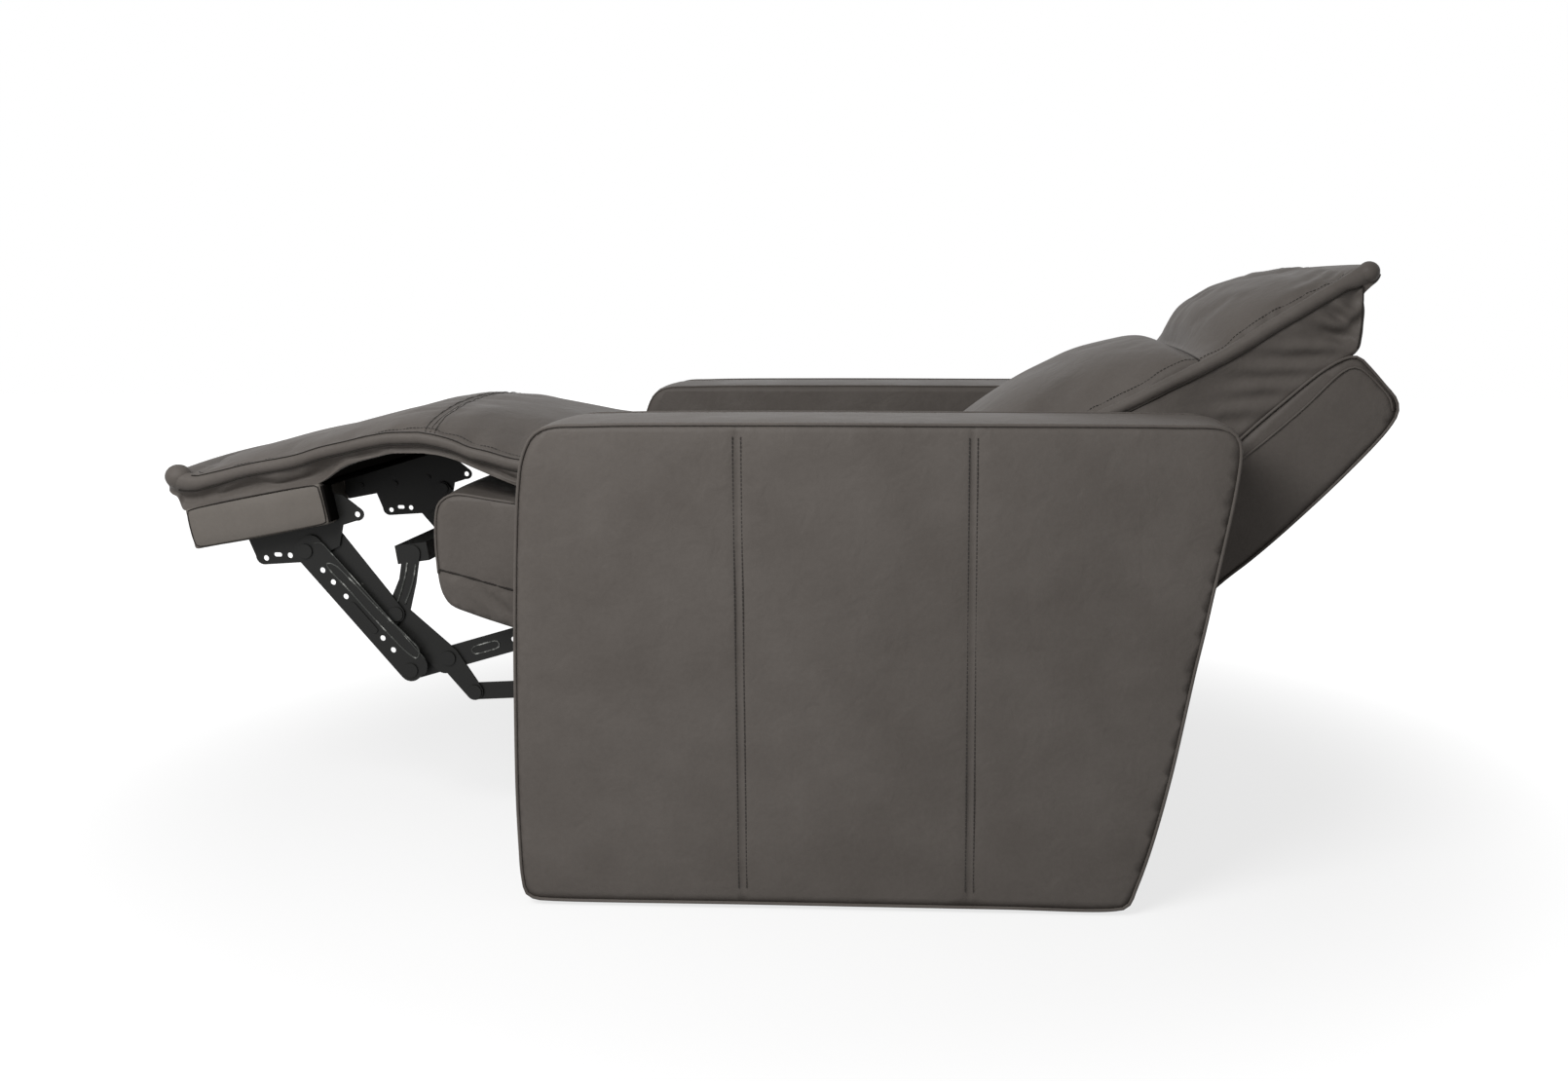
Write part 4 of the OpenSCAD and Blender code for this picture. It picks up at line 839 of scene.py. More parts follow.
# %% A whole cushion from its sections
def sweep_cushion(name, stations, shape, to_room, lined_to):
    """Joins the sections along the cushion; the underside is dust cloth up to a place, all else is hide."""
    rings = []
    for s in stations:
        half = half_section(s, shape)
        ring = half + [(-x, h) for x, h in reversed(half[:-1])][:-1]
        rings.append([to_room(x, s, h) for x, h in ring])
    points = [p for ring in rings for p in ring]
    faces = quads(len(rings), RING, sides_meet=True)
    for start in (0, (len(rings) - 1) * RING):
        faces += [(start + k, start + k + 1, start + RING - k - 1, start + RING - k)
                  for k in range(1, HALF_COUNT - 2)]
        faces.append((start, start + 1, start + RING - 1))
    piece = make_piece(name, points, faces, HIDE)
    piece.data.materials.append(DUST_CLOTH)
    for face in piece.data.polygons:
        under = all(min(v % RING, RING - v % RING) <= UNDER_STEPS for v in face.vertices)
        if under and stations[max(face.vertices) // RING] < lined_to:
            face.material_index = 1
    print(name, len(stations), "sections,", len(piece.data.polygons), "faces")
    return piece


def seam_puckers(size, reach, height, seed):
    """Short pulls in the panel that start at the seam and fade away from it."""
    rng = np.random.default_rng(seed)
    waves = list(zip(rng.uniform(0.75, 1.7, 5), rng.uniform(0, 2 * math.pi, 5)))

    def pull(s, away):
        wave = sum(math.sin(2 * math.pi * s / (size * stretch) + phase) for stretch, phase in waves) / 3
        return height * wave * math.exp(-away / reach) * min(1, away / (4 * MM))
    return pull


def long_folds(count, height, drift, seed):
    """Folds of a gusset that run along it: ridges across its height whose place wanders."""
    rng = np.random.default_rng(seed)
    phase = rng.uniform(0, 2 * math.pi, 4)

    def fold(s, t, _height):
        wander = drift * (math.sin(9 * s + phase[0]) + 0.6 * math.sin(23 * s + phase[1]))
        strength = 0.65 + 0.35 * math.sin(17 * s + phase[2])
        return height * strength * math.sin(2 * math.pi * (count * t + wander) + phase[3])
    return fold

# %% Blowing a cushion up between its seams
CLOTH_FRAMES = 16
CLOTH_PRESSURE = 3.0
LONGEST_MOVE = 22 * MM      # no point of a cushion is carried further than this


def level_crown(start, end, out):
    """Brings each section's crest back to its measured height, and what lies beside it in proportion."""
    count = len(start) // RING
    middle = [i * RING + HALF_COUNT - 1 for i in range(count)]
    seam = [i * RING + SEAM_INDEX + 1 for i in range(count)]
    foot = start[seam] @ out
    ratio = (start[middle] @ out - foot) / np.maximum(end[middle] @ out - foot, 1 * MM)
    ratio = np.convolve(np.pad(ratio, 1, mode="edge"), (0.2, 0.6, 0.2), mode="valid")
    end = end.copy()
    for i in range(count):
        rows = np.arange(i * RING + SEAM_INDEX + 1, (i + 1) * RING - SEAM_INDEX)
        rise = np.maximum(end[rows] @ out - foot[i], 0)
        end[rows] += (rise * (ratio[i] - 1))[:, None] * out
    return end


def blow_up(piece, held, out, growth, ease):
    """Cloth with air pressure inside. held says which points stay, out is the way that the crown faces,
    and ease says how much of the movement a section keeps."""
    start = np.array([tuple(v.co) for v in piece.data.vertices])
    group = piece.vertex_groups.new(name="sewn")
    group.add([v.index for v in piece.data.vertices if held(v.index)], 1.0, "REPLACE")
    cloth = piece.modifiers.new("cloth", "CLOTH")
    settings = cloth.settings
    settings.quality = 6
    settings.mass = 0.3
    settings.tension_stiffness = settings.compression_stiffness = 12
    settings.shear_stiffness = 6
    settings.bending_stiffness = 0.6
    settings.vertex_group_mass = "sewn"
    settings.pin_stiffness = 1.0
    settings.use_pressure = True
    settings.uniform_pressure_force = CLOTH_PRESSURE
    settings.shrink_min = -growth
    settings.effector_weights.gravity = 0
    cloth.collision_settings.use_collision = False
    cloth.point_cache.frame_start, cloth.point_cache.frame_end = 1, CLOTH_FRAMES
    scene = bpy.context.scene
    for frame_number in range(1, CLOTH_FRAMES + 1):
        scene.frame_set(frame_number)
    ready = piece.evaluated_get(bpy.context.evaluated_depsgraph_get())
    end = np.array([tuple(v.co) for v in ready.data.vertices])
    move = end - start
    far = np.linalg.norm(move, axis=1)
    move *= np.minimum(1, LONGEST_MOVE / np.maximum(far, 1e-9))[:, None]
    sections = len(move) // RING
    move[:sections * RING] *= np.repeat([ease(i) for i in range(sections)], RING)[:, None]
    piece.modifiers.remove(cloth)
    piece.vertex_groups.remove(group)
    for vertex, place in zip(piece.data.vertices, level_crown(start, start + move, np.array(out))):
        vertex.co = place
    scene.frame_set(1)
    print(piece.name, "blown up: moved", round(float(np.median(far)) / MM, 1), "mm typically,",
          round(float(far.max()) / MM, 1), "mm at most before the cap")


def smooth_finish(piece):
    """Catmull-Clark subdivision, applied."""
    modifier = piece.modifiers.new("smooth", "SUBSURF")
    modifier.levels = modifier.render_levels = 1
    apply_modifier(piece, modifier)
    for face in piece.data.polygons:
        face.use_smooth = True


print("a cushion is blown up over", CLOTH_FRAMES, "frames")

# %% [markdown]
# ## The chaise pad
# One long pad covers the seat and the footrest without a break, which is what makes this a chaise
# recliner. It is highest just in front of the knees, where a cross seam joins its two halves, and from
# there it falls to the footrest's tip. The roll along its edge ends at the tip in a full, gathered
# corner.

# %% The chaise pad's curves, from its rear end to the tip
# Each row: how far along, half width, underside, seam height, crown height, roll radius, tuck, dip
PAD = [
    (72, 262, 431, 478, 496, 9, 10, 0), (66, 274, 430, 486, 506), (28, 282, 430, 495, 519),
    (-63, 282, 430, 506, 537), (-166, 282, 430, 518, 558), (-223, 282, 430, 524, 571),
    (-264, 282, 431, 527, 579), (-280, 282, 484, 529.5, 581), (-341.5, 282, 502, 534, 593.5),
    (-383, 282, 519, 545, 601), (-405.5, 282, 529, 550, 605), (-423, 282, 537, 558, 607.5),
    (-454, 282, 545, 566.5, 609.5), (-463.5, 282, 546, 568, 607.5), (-473, 282, 547, 569.5, 609.5),
    (-509.5, 282, 547, 569, 606), (-538, 282, 541, 565, 598), (-576.5, 282, 530, 556, 588),
    (-608, 282, 511, 549, 579.5), (-643.5, 282, 501, 538, 570, 9, 6),
    (-711.5, 282, 488.5, 525, 555.5, 9, 5.5), (-765, 281, 478, 511, 541, 10.5, 5),
    (-783, 281, 474, 507, 535, 11, 5),
    (-795, 281, 472, 507, 527, 12.5, 5.5, 1.4), (-804, 281, 472, 508.5, 530, 13, 7),
    (-810, 280, 476, 509, 531.5, 13, 9), (-814, 279, 491, 509.5, 531, 13, 11),
    (-822, 275, 494, 509.5, 527, 12, 9), (-828, 269, 497, 509, 521, 9, 7, 0.5),
    (-831, 263, 501, 509, 516, 5, 4, 0),
]
KNEE_SEAM = 0.4635
TIP_ROLL = 0.775        # from here the roll swells to the tip
pad_shape = cushion_curves(PAD, -1, (9, 10, 1))
pad_puckers = seam_puckers(34 * MM, 26 * MM, 1.5 * MM, 3)
pad_folds = long_folds(1.6, 4.5 * MM, 0.15, 8)


def cross_pull(s):
    """How near a place along the pad is to the cross seam over the knees: 1 at it, 0 far off."""
    return bell(s - KNEE_SEAM, 0.035)


def pad_pull(s, away):
    """Pulls that start at the side seams, stronger at the cross seam and weaker at the tip."""
    return pad_puckers(s, away) * (1 + 0.3 * cross_pull(s)) * (0.5 if s > TIP_ROLL else 1.0)


pad_shape.update(power=lambda s: 0.62, lip=lambda s: 6 * MM * ramp(s - 0.595, 0.03),
                 pull=13 * MM, folds=pad_folds, puckers=pad_pull)
stations = [*np.arange(-0.072, 0.44, 11 * MM), *np.arange(0.446, 0.484, 3.2 * MM),
            *np.arange(0.492, TIP_ROLL, 10.5 * MM), *np.arange(0.782, 0.830, 3.4 * MM), 0.831]
chaise_pad = sweep_cushion("chaise_pad", stations, pad_shape, lambda x, s, h: (x, -s, h), 0.79)

# %% Which points of a cushion are sewn down, and lines along its seams
PANEL_FIRST = SEAM_INDEX + 2
NECK_INDEX = UNDER_STEPS + GUSSET_STEPS


def sewn_points(places, first_free, last_free, seam, reach):
    """A test for blow_up: only the top panel and the gusset between two places are free to move,
    and there not what lies within reach of the cross seam."""
    def held(index):
        ring, k = divmod(index, RING)
        k = min(k, RING - k)
        place = places[min(ring, len(places) - 1)]
        in_panel = k >= PANEL_FIRST or UNDER_STEPS + 2 <= k <= UNDER_STEPS + GUSSET_STEPS - 1
        return not (in_panel and first_free < place < last_free and abs(place - seam) >= reach)
    return held


def above(piece, index, lift):
    """A point of a piece, moved out of its surface a little."""
    vertex = piece.data.vertices[index]
    return np.array(vertex.co) + lift * np.array(vertex.normal)


def side_lines(piece, places, k, low, high, lift):
    """On both sides, the points number k of each section between two places."""
    return [[above(piece, i * RING + index, lift) for i, s in enumerate(places) if low <= s <= high]
            for index in (k, RING - k)]


def line_across(piece, places, place, lift):
    """The points of the section nearest a place, from one side seam over the crown to the other."""
    ring = int(np.argmin([abs(s - place) for s in places]))
    return [above(piece, ring * RING + k, lift) for k in range(PANEL_FIRST, RING - PANEL_FIRST + 1)]


# Seam cords are dark by default: their colour is painted shade of the seam's crease
def seam_cords(lines, radius, spacing=9 * MM, finish=SEAM_SHADE_HIDE):
    """Piping along each of several seam lines."""
    return [piping("seam", smooth_line(line, spacing), radius, finish) for line in lines]


print("the panel starts at point", PANEL_FIRST, "of a section and the roll at point", NECK_INDEX)

# %% A gathered knob, as the roll's ends have
KNOB_ROWS, KNOB_COLUMNS = 12, 20


def corner_knob(centre, axis, radius):
    """A slightly flattened ball, pulled in towards the seam at its end."""
    points = []
    centre = np.array(centre)
    axis = np.array(axis) / np.linalg.norm(axis)
    across = np.array((1.0, 0.0, 0.0))
    up = np.cross(axis, across)
    for i in range(KNOB_ROWS + 1):
        a = math.pi * i / KNOB_ROWS
        for k in range(KNOB_COLUMNS):
            b = 2 * math.pi * k / KNOB_COLUMNS
            gather = 1 - 0.07 * (0.5 + 0.5 * math.cos(5 * b)) * max(0.0, math.cos(a))
            r = radius * math.sin(a) * gather
            ring = r * (math.cos(b) * across + math.sin(b) * up)
            points.append(centre - axis * radius * 1.05 * math.cos(a) + ring)
    return make_piece("knob", points, quads(KNOB_ROWS + 1, KNOB_COLUMNS, sides_meet=True), HIDE)


print("a knob has", KNOB_ROWS * KNOB_COLUMNS, "faces")

# %% Blow the pad up, then sew its seams
blow_up(chaise_pad, sewn_points(stations, -0.06, 0.79, KNEE_SEAM, 2 * MM), (0, 0, 1), growth=0.02,
        ease=lambda i: min(1, 0.3 + abs(stations[i] - KNEE_SEAM) / 0.08))
SEAM_LIFT, STITCH_LIFT, NECK_LIFT = 1.5 * MM, 0.5 * MM, 0.9 * MM
TOP_STITCH = SEAM_INDEX + 4
ROLL_TOP = NECK_INDEX + 5     # where the roll's own seam runs, 55 degrees up its outside
pad_lines = side_lines(chaise_pad, stations, SEAM_INDEX + 1, -0.05, 0.80, SEAM_LIFT)
pad_necks = side_lines(chaise_pad, stations, NECK_INDEX, -0.05, 0.81, NECK_LIFT)
pad_rolls = side_lines(chaise_pad, stations, ROLL_TOP, -0.05, 0.79, 0.2 * MM)
knee_line = line_across(chaise_pad, stations, KNEE_SEAM, 0.1 * MM)
pad_dashes = side_lines(chaise_pad, stations, TOP_STITCH, -0.05, 0.79, STITCH_LIFT)
pad_dashes += [line_across(chaise_pad, stations, KNEE_SEAM + off * MM, STITCH_LIFT) for off in (-6.4, 6.4)]
smooth_finish(chaise_pad)
tips = [corner_knob((side * 0.2645, -0.8125, 0.5135), (0, -1, 0.12), 17 * MM) for side in (1, -1)]
chaise_pad = join_pieces(chaise_pad, *tips)
print("the pad's seams and stitch rows:", len(pad_lines + pad_necks + pad_rolls + pad_dashes) + 1)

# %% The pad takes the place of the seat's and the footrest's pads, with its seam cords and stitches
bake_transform(chaise_pad)
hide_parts("seat_pad", "footrest_pad")
# The cords along the side seams and the necks under the rolls carry painted shade in their dark colour; the
# knee seam's cord is plain hide
pad_seams = join_pieces(*seam_cords(pad_lines, 1.5 * MM), *seam_cords(pad_necks, 1.3 * MM),
                        *seam_cords(pad_rolls, 0.9 * MM), *seam_cords([knee_line], 1.0 * MM, finish=HIDE))
pad_seams.name = "chaise_pad_seams"
pad_stitches = stitch_rows("chaise_pad_stitches", [smooth_line(line, STITCH) for line in pad_dashes], None)
for piece in (pad_seams, pad_stitches):
    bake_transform(piece)

# %% [markdown]
# ## The back
# The back has a padded tub behind, a lumbar cushion on it and a head cushion above. One long roll runs
# up each side of both cushions without a break and ends in a round knob at the top corner, and below it
# a wide gusset is gathered in towards the tub. Only the top panel is parted, by a deep crease that pulls
# the hide towards it. So both cushions are one sweep, with the crease as a dip in its crown. The hinge
# of the head cushion lies right below the crease.

# %% The back's own directions
BACK_Y, BACK_Z = 0.588, 0.380
DIAGONAL = math.sqrt(0.5)
BACK_OUT = (0, -DIAGONAL, DIAGONAL)


def from_back(x, u, n):
    """A place given across, up along the back and out from its rear face, in metres."""
    return (x, BACK_Y + (u - n) * DIAGONAL, BACK_Z + (u + n) * DIAGONAL)


print("the back leans", round(math.degrees(math.acos(DIAGONAL))), "degrees")

# %% The curves of the lumbar and head cushions, from the seat to the top
# Rows as for the pad: how far up, half width, rear, seam, crown, roll radius, tuck, dip
BACK = [
    (-362, 240, 224, 238, 262, 6, 5, 0), (-354, 244, 208, 262, 312, 10, 8, 0.3), (-322, 246, 186, 320.5, 380),
    (-286, 246, 156, 335.5, 399), (-250, 246, 132, 339.5, 404), (-222, 247, 116, 336.5, 403),
    (-188, 250, 116, 329.5, 396), (-150, 268, 116, 314.5, 386), (-85, 282, 115.5, 293.5, 378),
    (-1, 282, 115.5, 277.5, 361), (44, 282, 115.5, 265.5, 346), (88, 282, 116, 249.5, 329),
    (120, 282, 118, 239.5, 313), (145, 282, 119, 231.5, 299), (160, 282, 119, 226.5, 289),
    (171, 282, 118.5, 223, 280), (179, 282, 118, 220.5, 271), (185, 282, 117.5, 218.5, 256, 9.5, 9, 1.4),
    (190, 282, 117.5, 217, 241, 9.5, 9, 1.6), (195, 282, 117, 215.5, 240, 9.5, 9, 1.4),
    (202, 282, 117, 213.5, 243), (211, 282, 116, 210.5, 249), (224, 282, 115, 207, 257),
    (250, 282, 113, 201, 263), (291, 282, 107.5, 192.5, 256), (322, 282, 101, 184.5, 240),
    (336, 281.5, 97, 181, 232), (345, 281, 98, 179, 227), (358, 280.5, 107, 175.5, 218),
    (370, 280, 118, 172.5, 210), (382, 279, 130, 169.5, 202), (397, 278, 149, 163, 190, 12.5, 8),
    (408, 277, 149, 160, 180, 13, 8), (418, 276, 148, 158, 172, 13, 8), (427, 272, 150, 157, 166, 9, 5, 0.4),
    (431, 266, 152, 156, 160, 4, 3, 0),
]
CREASE = 0.190
FOOT_LIP = 8 * MM


def gathered(folds_at, height, spread, seed):
    """Gusset folds that lie nearly level in the room, each fading out along its length."""
    rng = np.random.default_rng(seed)
    sway = rng.uniform(0, 2 * math.pi, len(folds_at))

    def fold(s, _share, h):
        y, z = BACK_Y + (s - h) * DIAGONAL, BACK_Z + (s + h) * DIAGONAL
        total = 0.0
        for (level, centre, reach, slope), phase in zip(folds_at, sway):
            line = level + slope * (y - centre) + 2 * MM * math.sin(y / (30 * MM) + phase)
            ridge = bell(z - line, spread) - 0.9 * bell(z - line + 1.8 * spread, spread)
            total += bell(y - centre, reach) * ridge
        return height * total
    return fold


# Each fold is a level, the place of its middle, its half length and its slope
GUSSET_FOLDS = [(0.692, 0.705, 0.062, -0.04), (0.668, 0.690, 0.080, 0.04), (0.640, 0.655, 0.060, 0.12),
                (0.722, 0.735, 0.030, -0.35), (0.738, 0.762, 0.020, 0.6), (0.748, 0.735, 0.016, -0.5),
                (0.612, 0.620, 0.050, 0.22), (0.760, 0.778, 0.014, 0.8)]
back_puckers = seam_puckers(40 * MM, 34 * MM, 2.4 * MM, 21)


def back_pull(s, away):
    """Pulls that start at the side seams, stronger at the crease's ends."""
    return back_puckers(s, away) * (0.4 + 0.3 * bell(s - CREASE, 0.030))


def back_power(s):
    """How boxy the crown is: fuller right below the crease, flatter right above it."""
    return 0.60 - 0.17 * bell(s - 0.168, 0.028) + 0.22 * bell(s - 0.225, 0.03)


print("gusset folds:", len(GUSSET_FOLDS))

# %% Sweeping the back cushions
back_shape = cushion_curves(BACK, 1, (9.5, 9, 1))
back_shape.update(power=back_power, lip=lambda s: FOOT_LIP, pull=7 * MM, puckers=back_pull,
                  folds=gathered(GUSSET_FOLDS, 9 * MM, 8.5 * MM, 2))
back_places = [-0.362, -0.358, -0.354, -0.348, *np.arange(-0.340, 0.15, 11.5 * MM),
               *np.arange(0.153, 0.232, 3 * MM), *np.arange(0.238, 0.330, 7 * MM),
               *np.arange(0.334, 0.430, 3.5 * MM), 0.431]
back_cover = sweep_cushion("back_cushion_cover", back_places, back_shape, from_back, 0.34)

# %% Blow up the back cushions and note their seams
blow_up(back_cover, sewn_points(back_places, -0.345, 0.402, CREASE, 13 * MM), BACK_OUT, growth=0.025,
        ease=lambda i: min(1, abs(back_places[i] - CREASE) / 0.09) ** 1.5)
back_seams = side_lines(back_cover, back_places, SEAM_INDEX + 1, -0.33, 0.404, SEAM_LIFT)
back_dashes = side_lines(back_cover, back_places, TOP_STITCH, -0.33, 0.400, STITCH_LIFT)
back_necks = side_lines(back_cover, back_places, NECK_INDEX, -0.20, 0.404, NECK_LIFT)
crease_line = line_across(back_cover, back_places, CREASE, 0.3 * MM)
CORNER_SEAM = [(0.2725, 0.401, 0.150), (0.2715, 0.392, 0.139), (0.2705, 0.378, 0.125), (0.2705, 0.362, 0.110),
               (0.2710, 0.343, 0.0955)]
corner_seams = [[from_back(side * x, u, n) for x, u, n in CORNER_SEAM] for side in (1, -1)]
print("the back's seams and stitch rows:", len(back_seams + back_dashes + back_necks + corner_seams) + 1)

# %% The knobs close the roll's ends
knob_axis = np.array(from_back(0, 1, -0.42)) - np.array(from_back(0, 0, 0))
knobs = [corner_knob(from_back(side * 0.2655, 0.419, 0.157), knob_axis, 14 * MM) for side in (1, -1)]
smooth_finish(back_cover)
back_cover = join_pieces(back_cover, *knobs)
print("back cushions:", len(back_cover.data.polygons), "faces")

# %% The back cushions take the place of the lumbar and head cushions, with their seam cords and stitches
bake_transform(back_cover)
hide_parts("lumbar_cushion", "head_cushion")
# The cords along the seams, the necks, the corners and the crease carry painted shade in their dark colour
back_seam_piece = join_pieces(*seam_cords(back_seams, 1.5 * MM), *seam_cords(back_necks, 1.2 * MM),
                              *seam_cords(corner_seams, 0.9 * MM, 6 * MM),
                              *seam_cords([crease_line], 1.6 * MM))
back_seam_piece.name = "back_cushion_seams"
back_stitches = stitch_rows("back_cushion_stitches", [smooth_line(line, STITCH) for line in back_dashes],
                            None)
for piece in (back_seam_piece, back_stitches):
    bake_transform(piece)

# %% [markdown]
# ## The tub behind the cushions
# The tub is a plywood shell padded on its outside. Its side panel is edged with piping, and in front of
# that a narrow border strip carries the cushions' gussets. Only its skin is modelled, as an open form
# that a Solidify modifier turns into a wall, because the space inside it is empty.

# %% The tub's outline and skin
TUB = [(-266, 96), (-270, 60), (-269, 10), (-262, -4), (-240, -9), (-120, -10), (0, -3), (60, -8),
       (117, -10.5), (220, -10.5), (300, -5), (322, 2), (331, 14), (333.5, 40), (335, 74), (334, 87),
       (326, 96), (296, 106), (220, 113), (161, 116), (60, 115), (-100, 114), (-230, 113), (-256, 109)]
TUB_X = 0.2795
TUB_SWELL = 5 * MM
tub_line = measured_line(TUB, 9 * MM, closed=True)
tub_out = outward(tub_line)
TUB_WELT = [(-240, 90), (-100, 93), (40, 95), (141, 96), (179, 93), (243, 89.5), (300, 90), (316, 87),
            (325, 80), (328.5, 66), (329, 40), (327, 20), (319, 7)]
tub_welt = measured_line(TUB_WELT, 8 * MM)
TUB_STEPS = 26


def tub_side(side):
    """A padded side panel of the tub, drawn in along its piping."""
    flat, faces = fill_panel(tub_line)
    far = distance_to_line(flat, tub_line)
    puff = 3.0 * MM * (1 - np.exp(-far / (16 * MM)))
    puff += slow_wave(flat, 0.15, 9) * ramp(far, 40 * MM)
    gap = np.min(np.linalg.norm(flat[:, None, :] - tub_welt[None, :, :], axis=2), axis=1)
    puff -= 1.6 * MM * bell(gap, 5 * MM)
    points = [from_back(side * (TUB_X + p), u, n) for (u, n), p in zip(flat, puff)]
    return make_piece("tub side", points, faces, HIDE)


def tub_wrap():
    """The rear, the top and the bottom between the two side panels; the front stays open."""
    across = crowded_steps(TUB_STEPS)
    row = len(across)
    points = []
    for (u, n), (ou, on) in zip(tub_line, tub_out):
        swell = TUB_SWELL * (max(0.0, -on) ** 1.5 + 0.5 * max(0.0, ou) ** 1.5)
        for s in across:
            rise = swell * (1 - abs(s) ** 4)
            points.append(from_back(s * TUB_X, u + ou * rise, n + on * rise))
    at_front = tub_out[:, 1] > 0.86
    faces = [face for face in quads(len(tub_line), row, ends_meet=True)
             if not (at_front[face[0] // row] and at_front[face[2] // row])]
    return make_piece("tub wrap", points, faces, HIDE)


print("tub outline:", len(tub_line), "points")

# %% Sewing the tub
tub = join_pieces(tub_side(1), tub_side(-1), tub_wrap())
tub.name = "back_tub"
tidy_mesh(tub.data, 0.3 * MM)
wall = tub.modifiers.new("wall", "SOLIDIFY")
wall.thickness = 12 * MM
wall.offset = -1
apply_modifier(tub, wall)
rear_edge = tub_line + tub_out * 1.0 * MM
rear_welts = [piping("rear welt", [from_back(side * (TUB_X + 1.2 * MM), u, n) for u, n in rear_edge],
                     2.0 * MM, closed=True) for side in (1, -1)]
inner_welts = [piping("side welt", [from_back(side * (TUB_X + 2.2 * MM), u, n) for u, n in tub_welt],
                      1.5 * MM) for side in (1, -1)]
tub = join_pieces(tub, *rear_welts, *inner_welts)
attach(tub, "back")
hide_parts("back_shell")
print("tub:", len(tub.data.polygons), "faces")

# %% [markdown]
# ## The seat box
# Below the pad the seat frame is hidden by an upholstered box. Its front is a padded band that wraps
# over the top, and each side is a flat panel with a loose flap sewn along its lower half. The flap is
# cut full so that it can fold as the seat slides, so it leans in and creases a little.

# %% The seat box's outline, its flap and its sides
BOX_SIDE = [(-453, 372), (-455, 430), (-453, 466), (-449, 480), (-438, 490), (-424, 494), (-380, 488),
            (-343.5, 482.5), (-296, 482), (-294, 478), (-294, 300), (-297, 296), (-330, 302), (-358.5, 311),
            (-410, 328), (-440, 341), (-449, 355)]
BOX_FRONT = [(-294, 481.5), (-343.5, 482.5), (-380, 488), (-424, 494), (-438, 490), (-449, 480), (-453, 466),
             (-455, 430), (-453, 386)]
FLAP_SEAM = [(-454, 391.5), (-420, 383), (-380, 371.5), (-348.5, 363), (-293, 350)]
BOX_X, BOX_LINING_X = 0.2805, 0.2565
BOX_STEPS = 30
box_line = measured_line(BOX_SIDE, 7 * MM, closed=True)
flap_height = curve_value([(y * MM, z * MM) for y, z in FLAP_SEAM], 1)


def flap_lean(drop):
    """How far the flap leans in at a distance below its seam."""
    return 8 * MM * (drop / (60 * MM)) ** 1.3 if drop > 0 else 0.0


def box_side(side):
    """One side of the box: its outside with the flap, its lining and the rim between them."""
    flat, faces = fill_panel(box_line, pitch=8 * MM)
    far = distance_to_line(flat, box_line)
    out = 2.2 * MM * (1 - np.exp(-far / (10 * MM)))
    for i, (y, z) in enumerate(flat):
        drop = flap_height(y) - z
        out[i] -= 2.4 * MM * bell(drop, 2.6 * MM) * ramp(far[i], 5 * MM)
        if drop > 0:
            along = y + 0.453
            crease = math.sin((along - 1.6 * drop) / (8.5 * MM)) * bell(along - 0.085, 0.040)
            second = math.sin((along - 0.9 * drop) / (12 * MM) + 1) * bell(along - 0.02, 0.03)
            free = ramp(drop, 14 * MM) * ramp(far[i], 8 * MM)
            out[i] += 4.2 * MM * (crease + 0.8 * second) * free - flap_lean(drop)
    outer = make_piece("box side", np.column_stack([side * (BOX_X + out), flat]), faces, HIDE)
    lining = np.column_stack([np.full(len(flat), side * BOX_LINING_X), flat])
    inner = make_piece("box lining", lining, faces, DUST_CLOTH)
    points = [(side * (BOX_X - flap_lean(flap_height(y) - z)), y, z) for y, z in box_line]
    points += [(side * BOX_LINING_X, y, z) for y, z in box_line]
    count = len(box_line)
    rim = [(i, (i + 1) % count, count + (i + 1) % count, count + i) for i in range(count)]
    return [outer, inner, make_piece("box edge", points, rim, HIDE)]


print("box side outline:", len(box_line), "points")

# %% The seat box's front band
def box_front():
    """A padded band with a flat rear face, closed along its four edges."""
    path = measured_line(BOX_FRONT, 7 * MM)
    ahead = np.gradient(path, axis=0)
    ahead /= np.linalg.norm(ahead, axis=1)[:, None]
    out = np.stack([ahead[:, 1], -ahead[:, 0]], axis=1)
    across = crowded_steps(BOX_STEPS)
    row, rows = len(across), len(path)
    points = []
    for padded in (True, False):
        for (y, z), (oy, oz) in zip(path, out):
            swell = 10.5 * MM * max(0.0, -oy) ** 1.4 + 3.5 * MM * max(0.0, oz) ** 2
            for s in across:
                rise = swell * (1 - abs(s) ** 5) if padded else -10 * MM
                points.append((s * BOX_X, y + oy * rise, z + oz * rise))
    base = rows * row
    faces = quads(rows, row)
    faces += [(base + a, base + d, base + c, base + b) for a, b, c, d in faces]
    rims = [(i * row + k, i * row + k + 1) for k in range(row - 1) for i in (0, rows - 1)]
    rims += [(i * row + k, (i + 1) * row + k) for i in range(rows - 1) for k in (0, row - 1)]
    faces += [(a, b, b + base, a + base) for a, b in rims]
    return make_piece("box front", points, faces, HIDE)


box_parts = [*box_side(1), *box_side(-1), box_front()]
print("box parts:", [part.name for part in box_parts])

# %% Sewing the seat box
seat_box = join_pieces(*box_parts)
seat_box.name = "seat_box_upholstery"
tidy_mesh(seat_box.data, 0.2 * MM)
box_welts = []
for side in (1, -1):
    front_edge = [(side * (BOX_X + 0.4 * MM), y * MM, z * MM) for y, z in BOX_FRONT[1:]]
    box_welts.append(piping("box welt", smooth_line(front_edge, 7 * MM), 1.8 * MM))
    seam = [(side * (BOX_X + 1.0 * MM), y, flap_height(y)) for y in np.arange(-0.451, -0.294, 7 * MM)]
    # The flap's seam cord is dark: painted shade of the crease along it
    box_welts.append(piping("flap seam", seam, 1.3 * MM, SEAM_SHADE_HIDE))
seat_box = join_pieces(seat_box, *box_welts)
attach(seat_box, "seat")
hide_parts("seat_box_cover")
print("seat box:", len(seat_box.data.polygons), "faces")
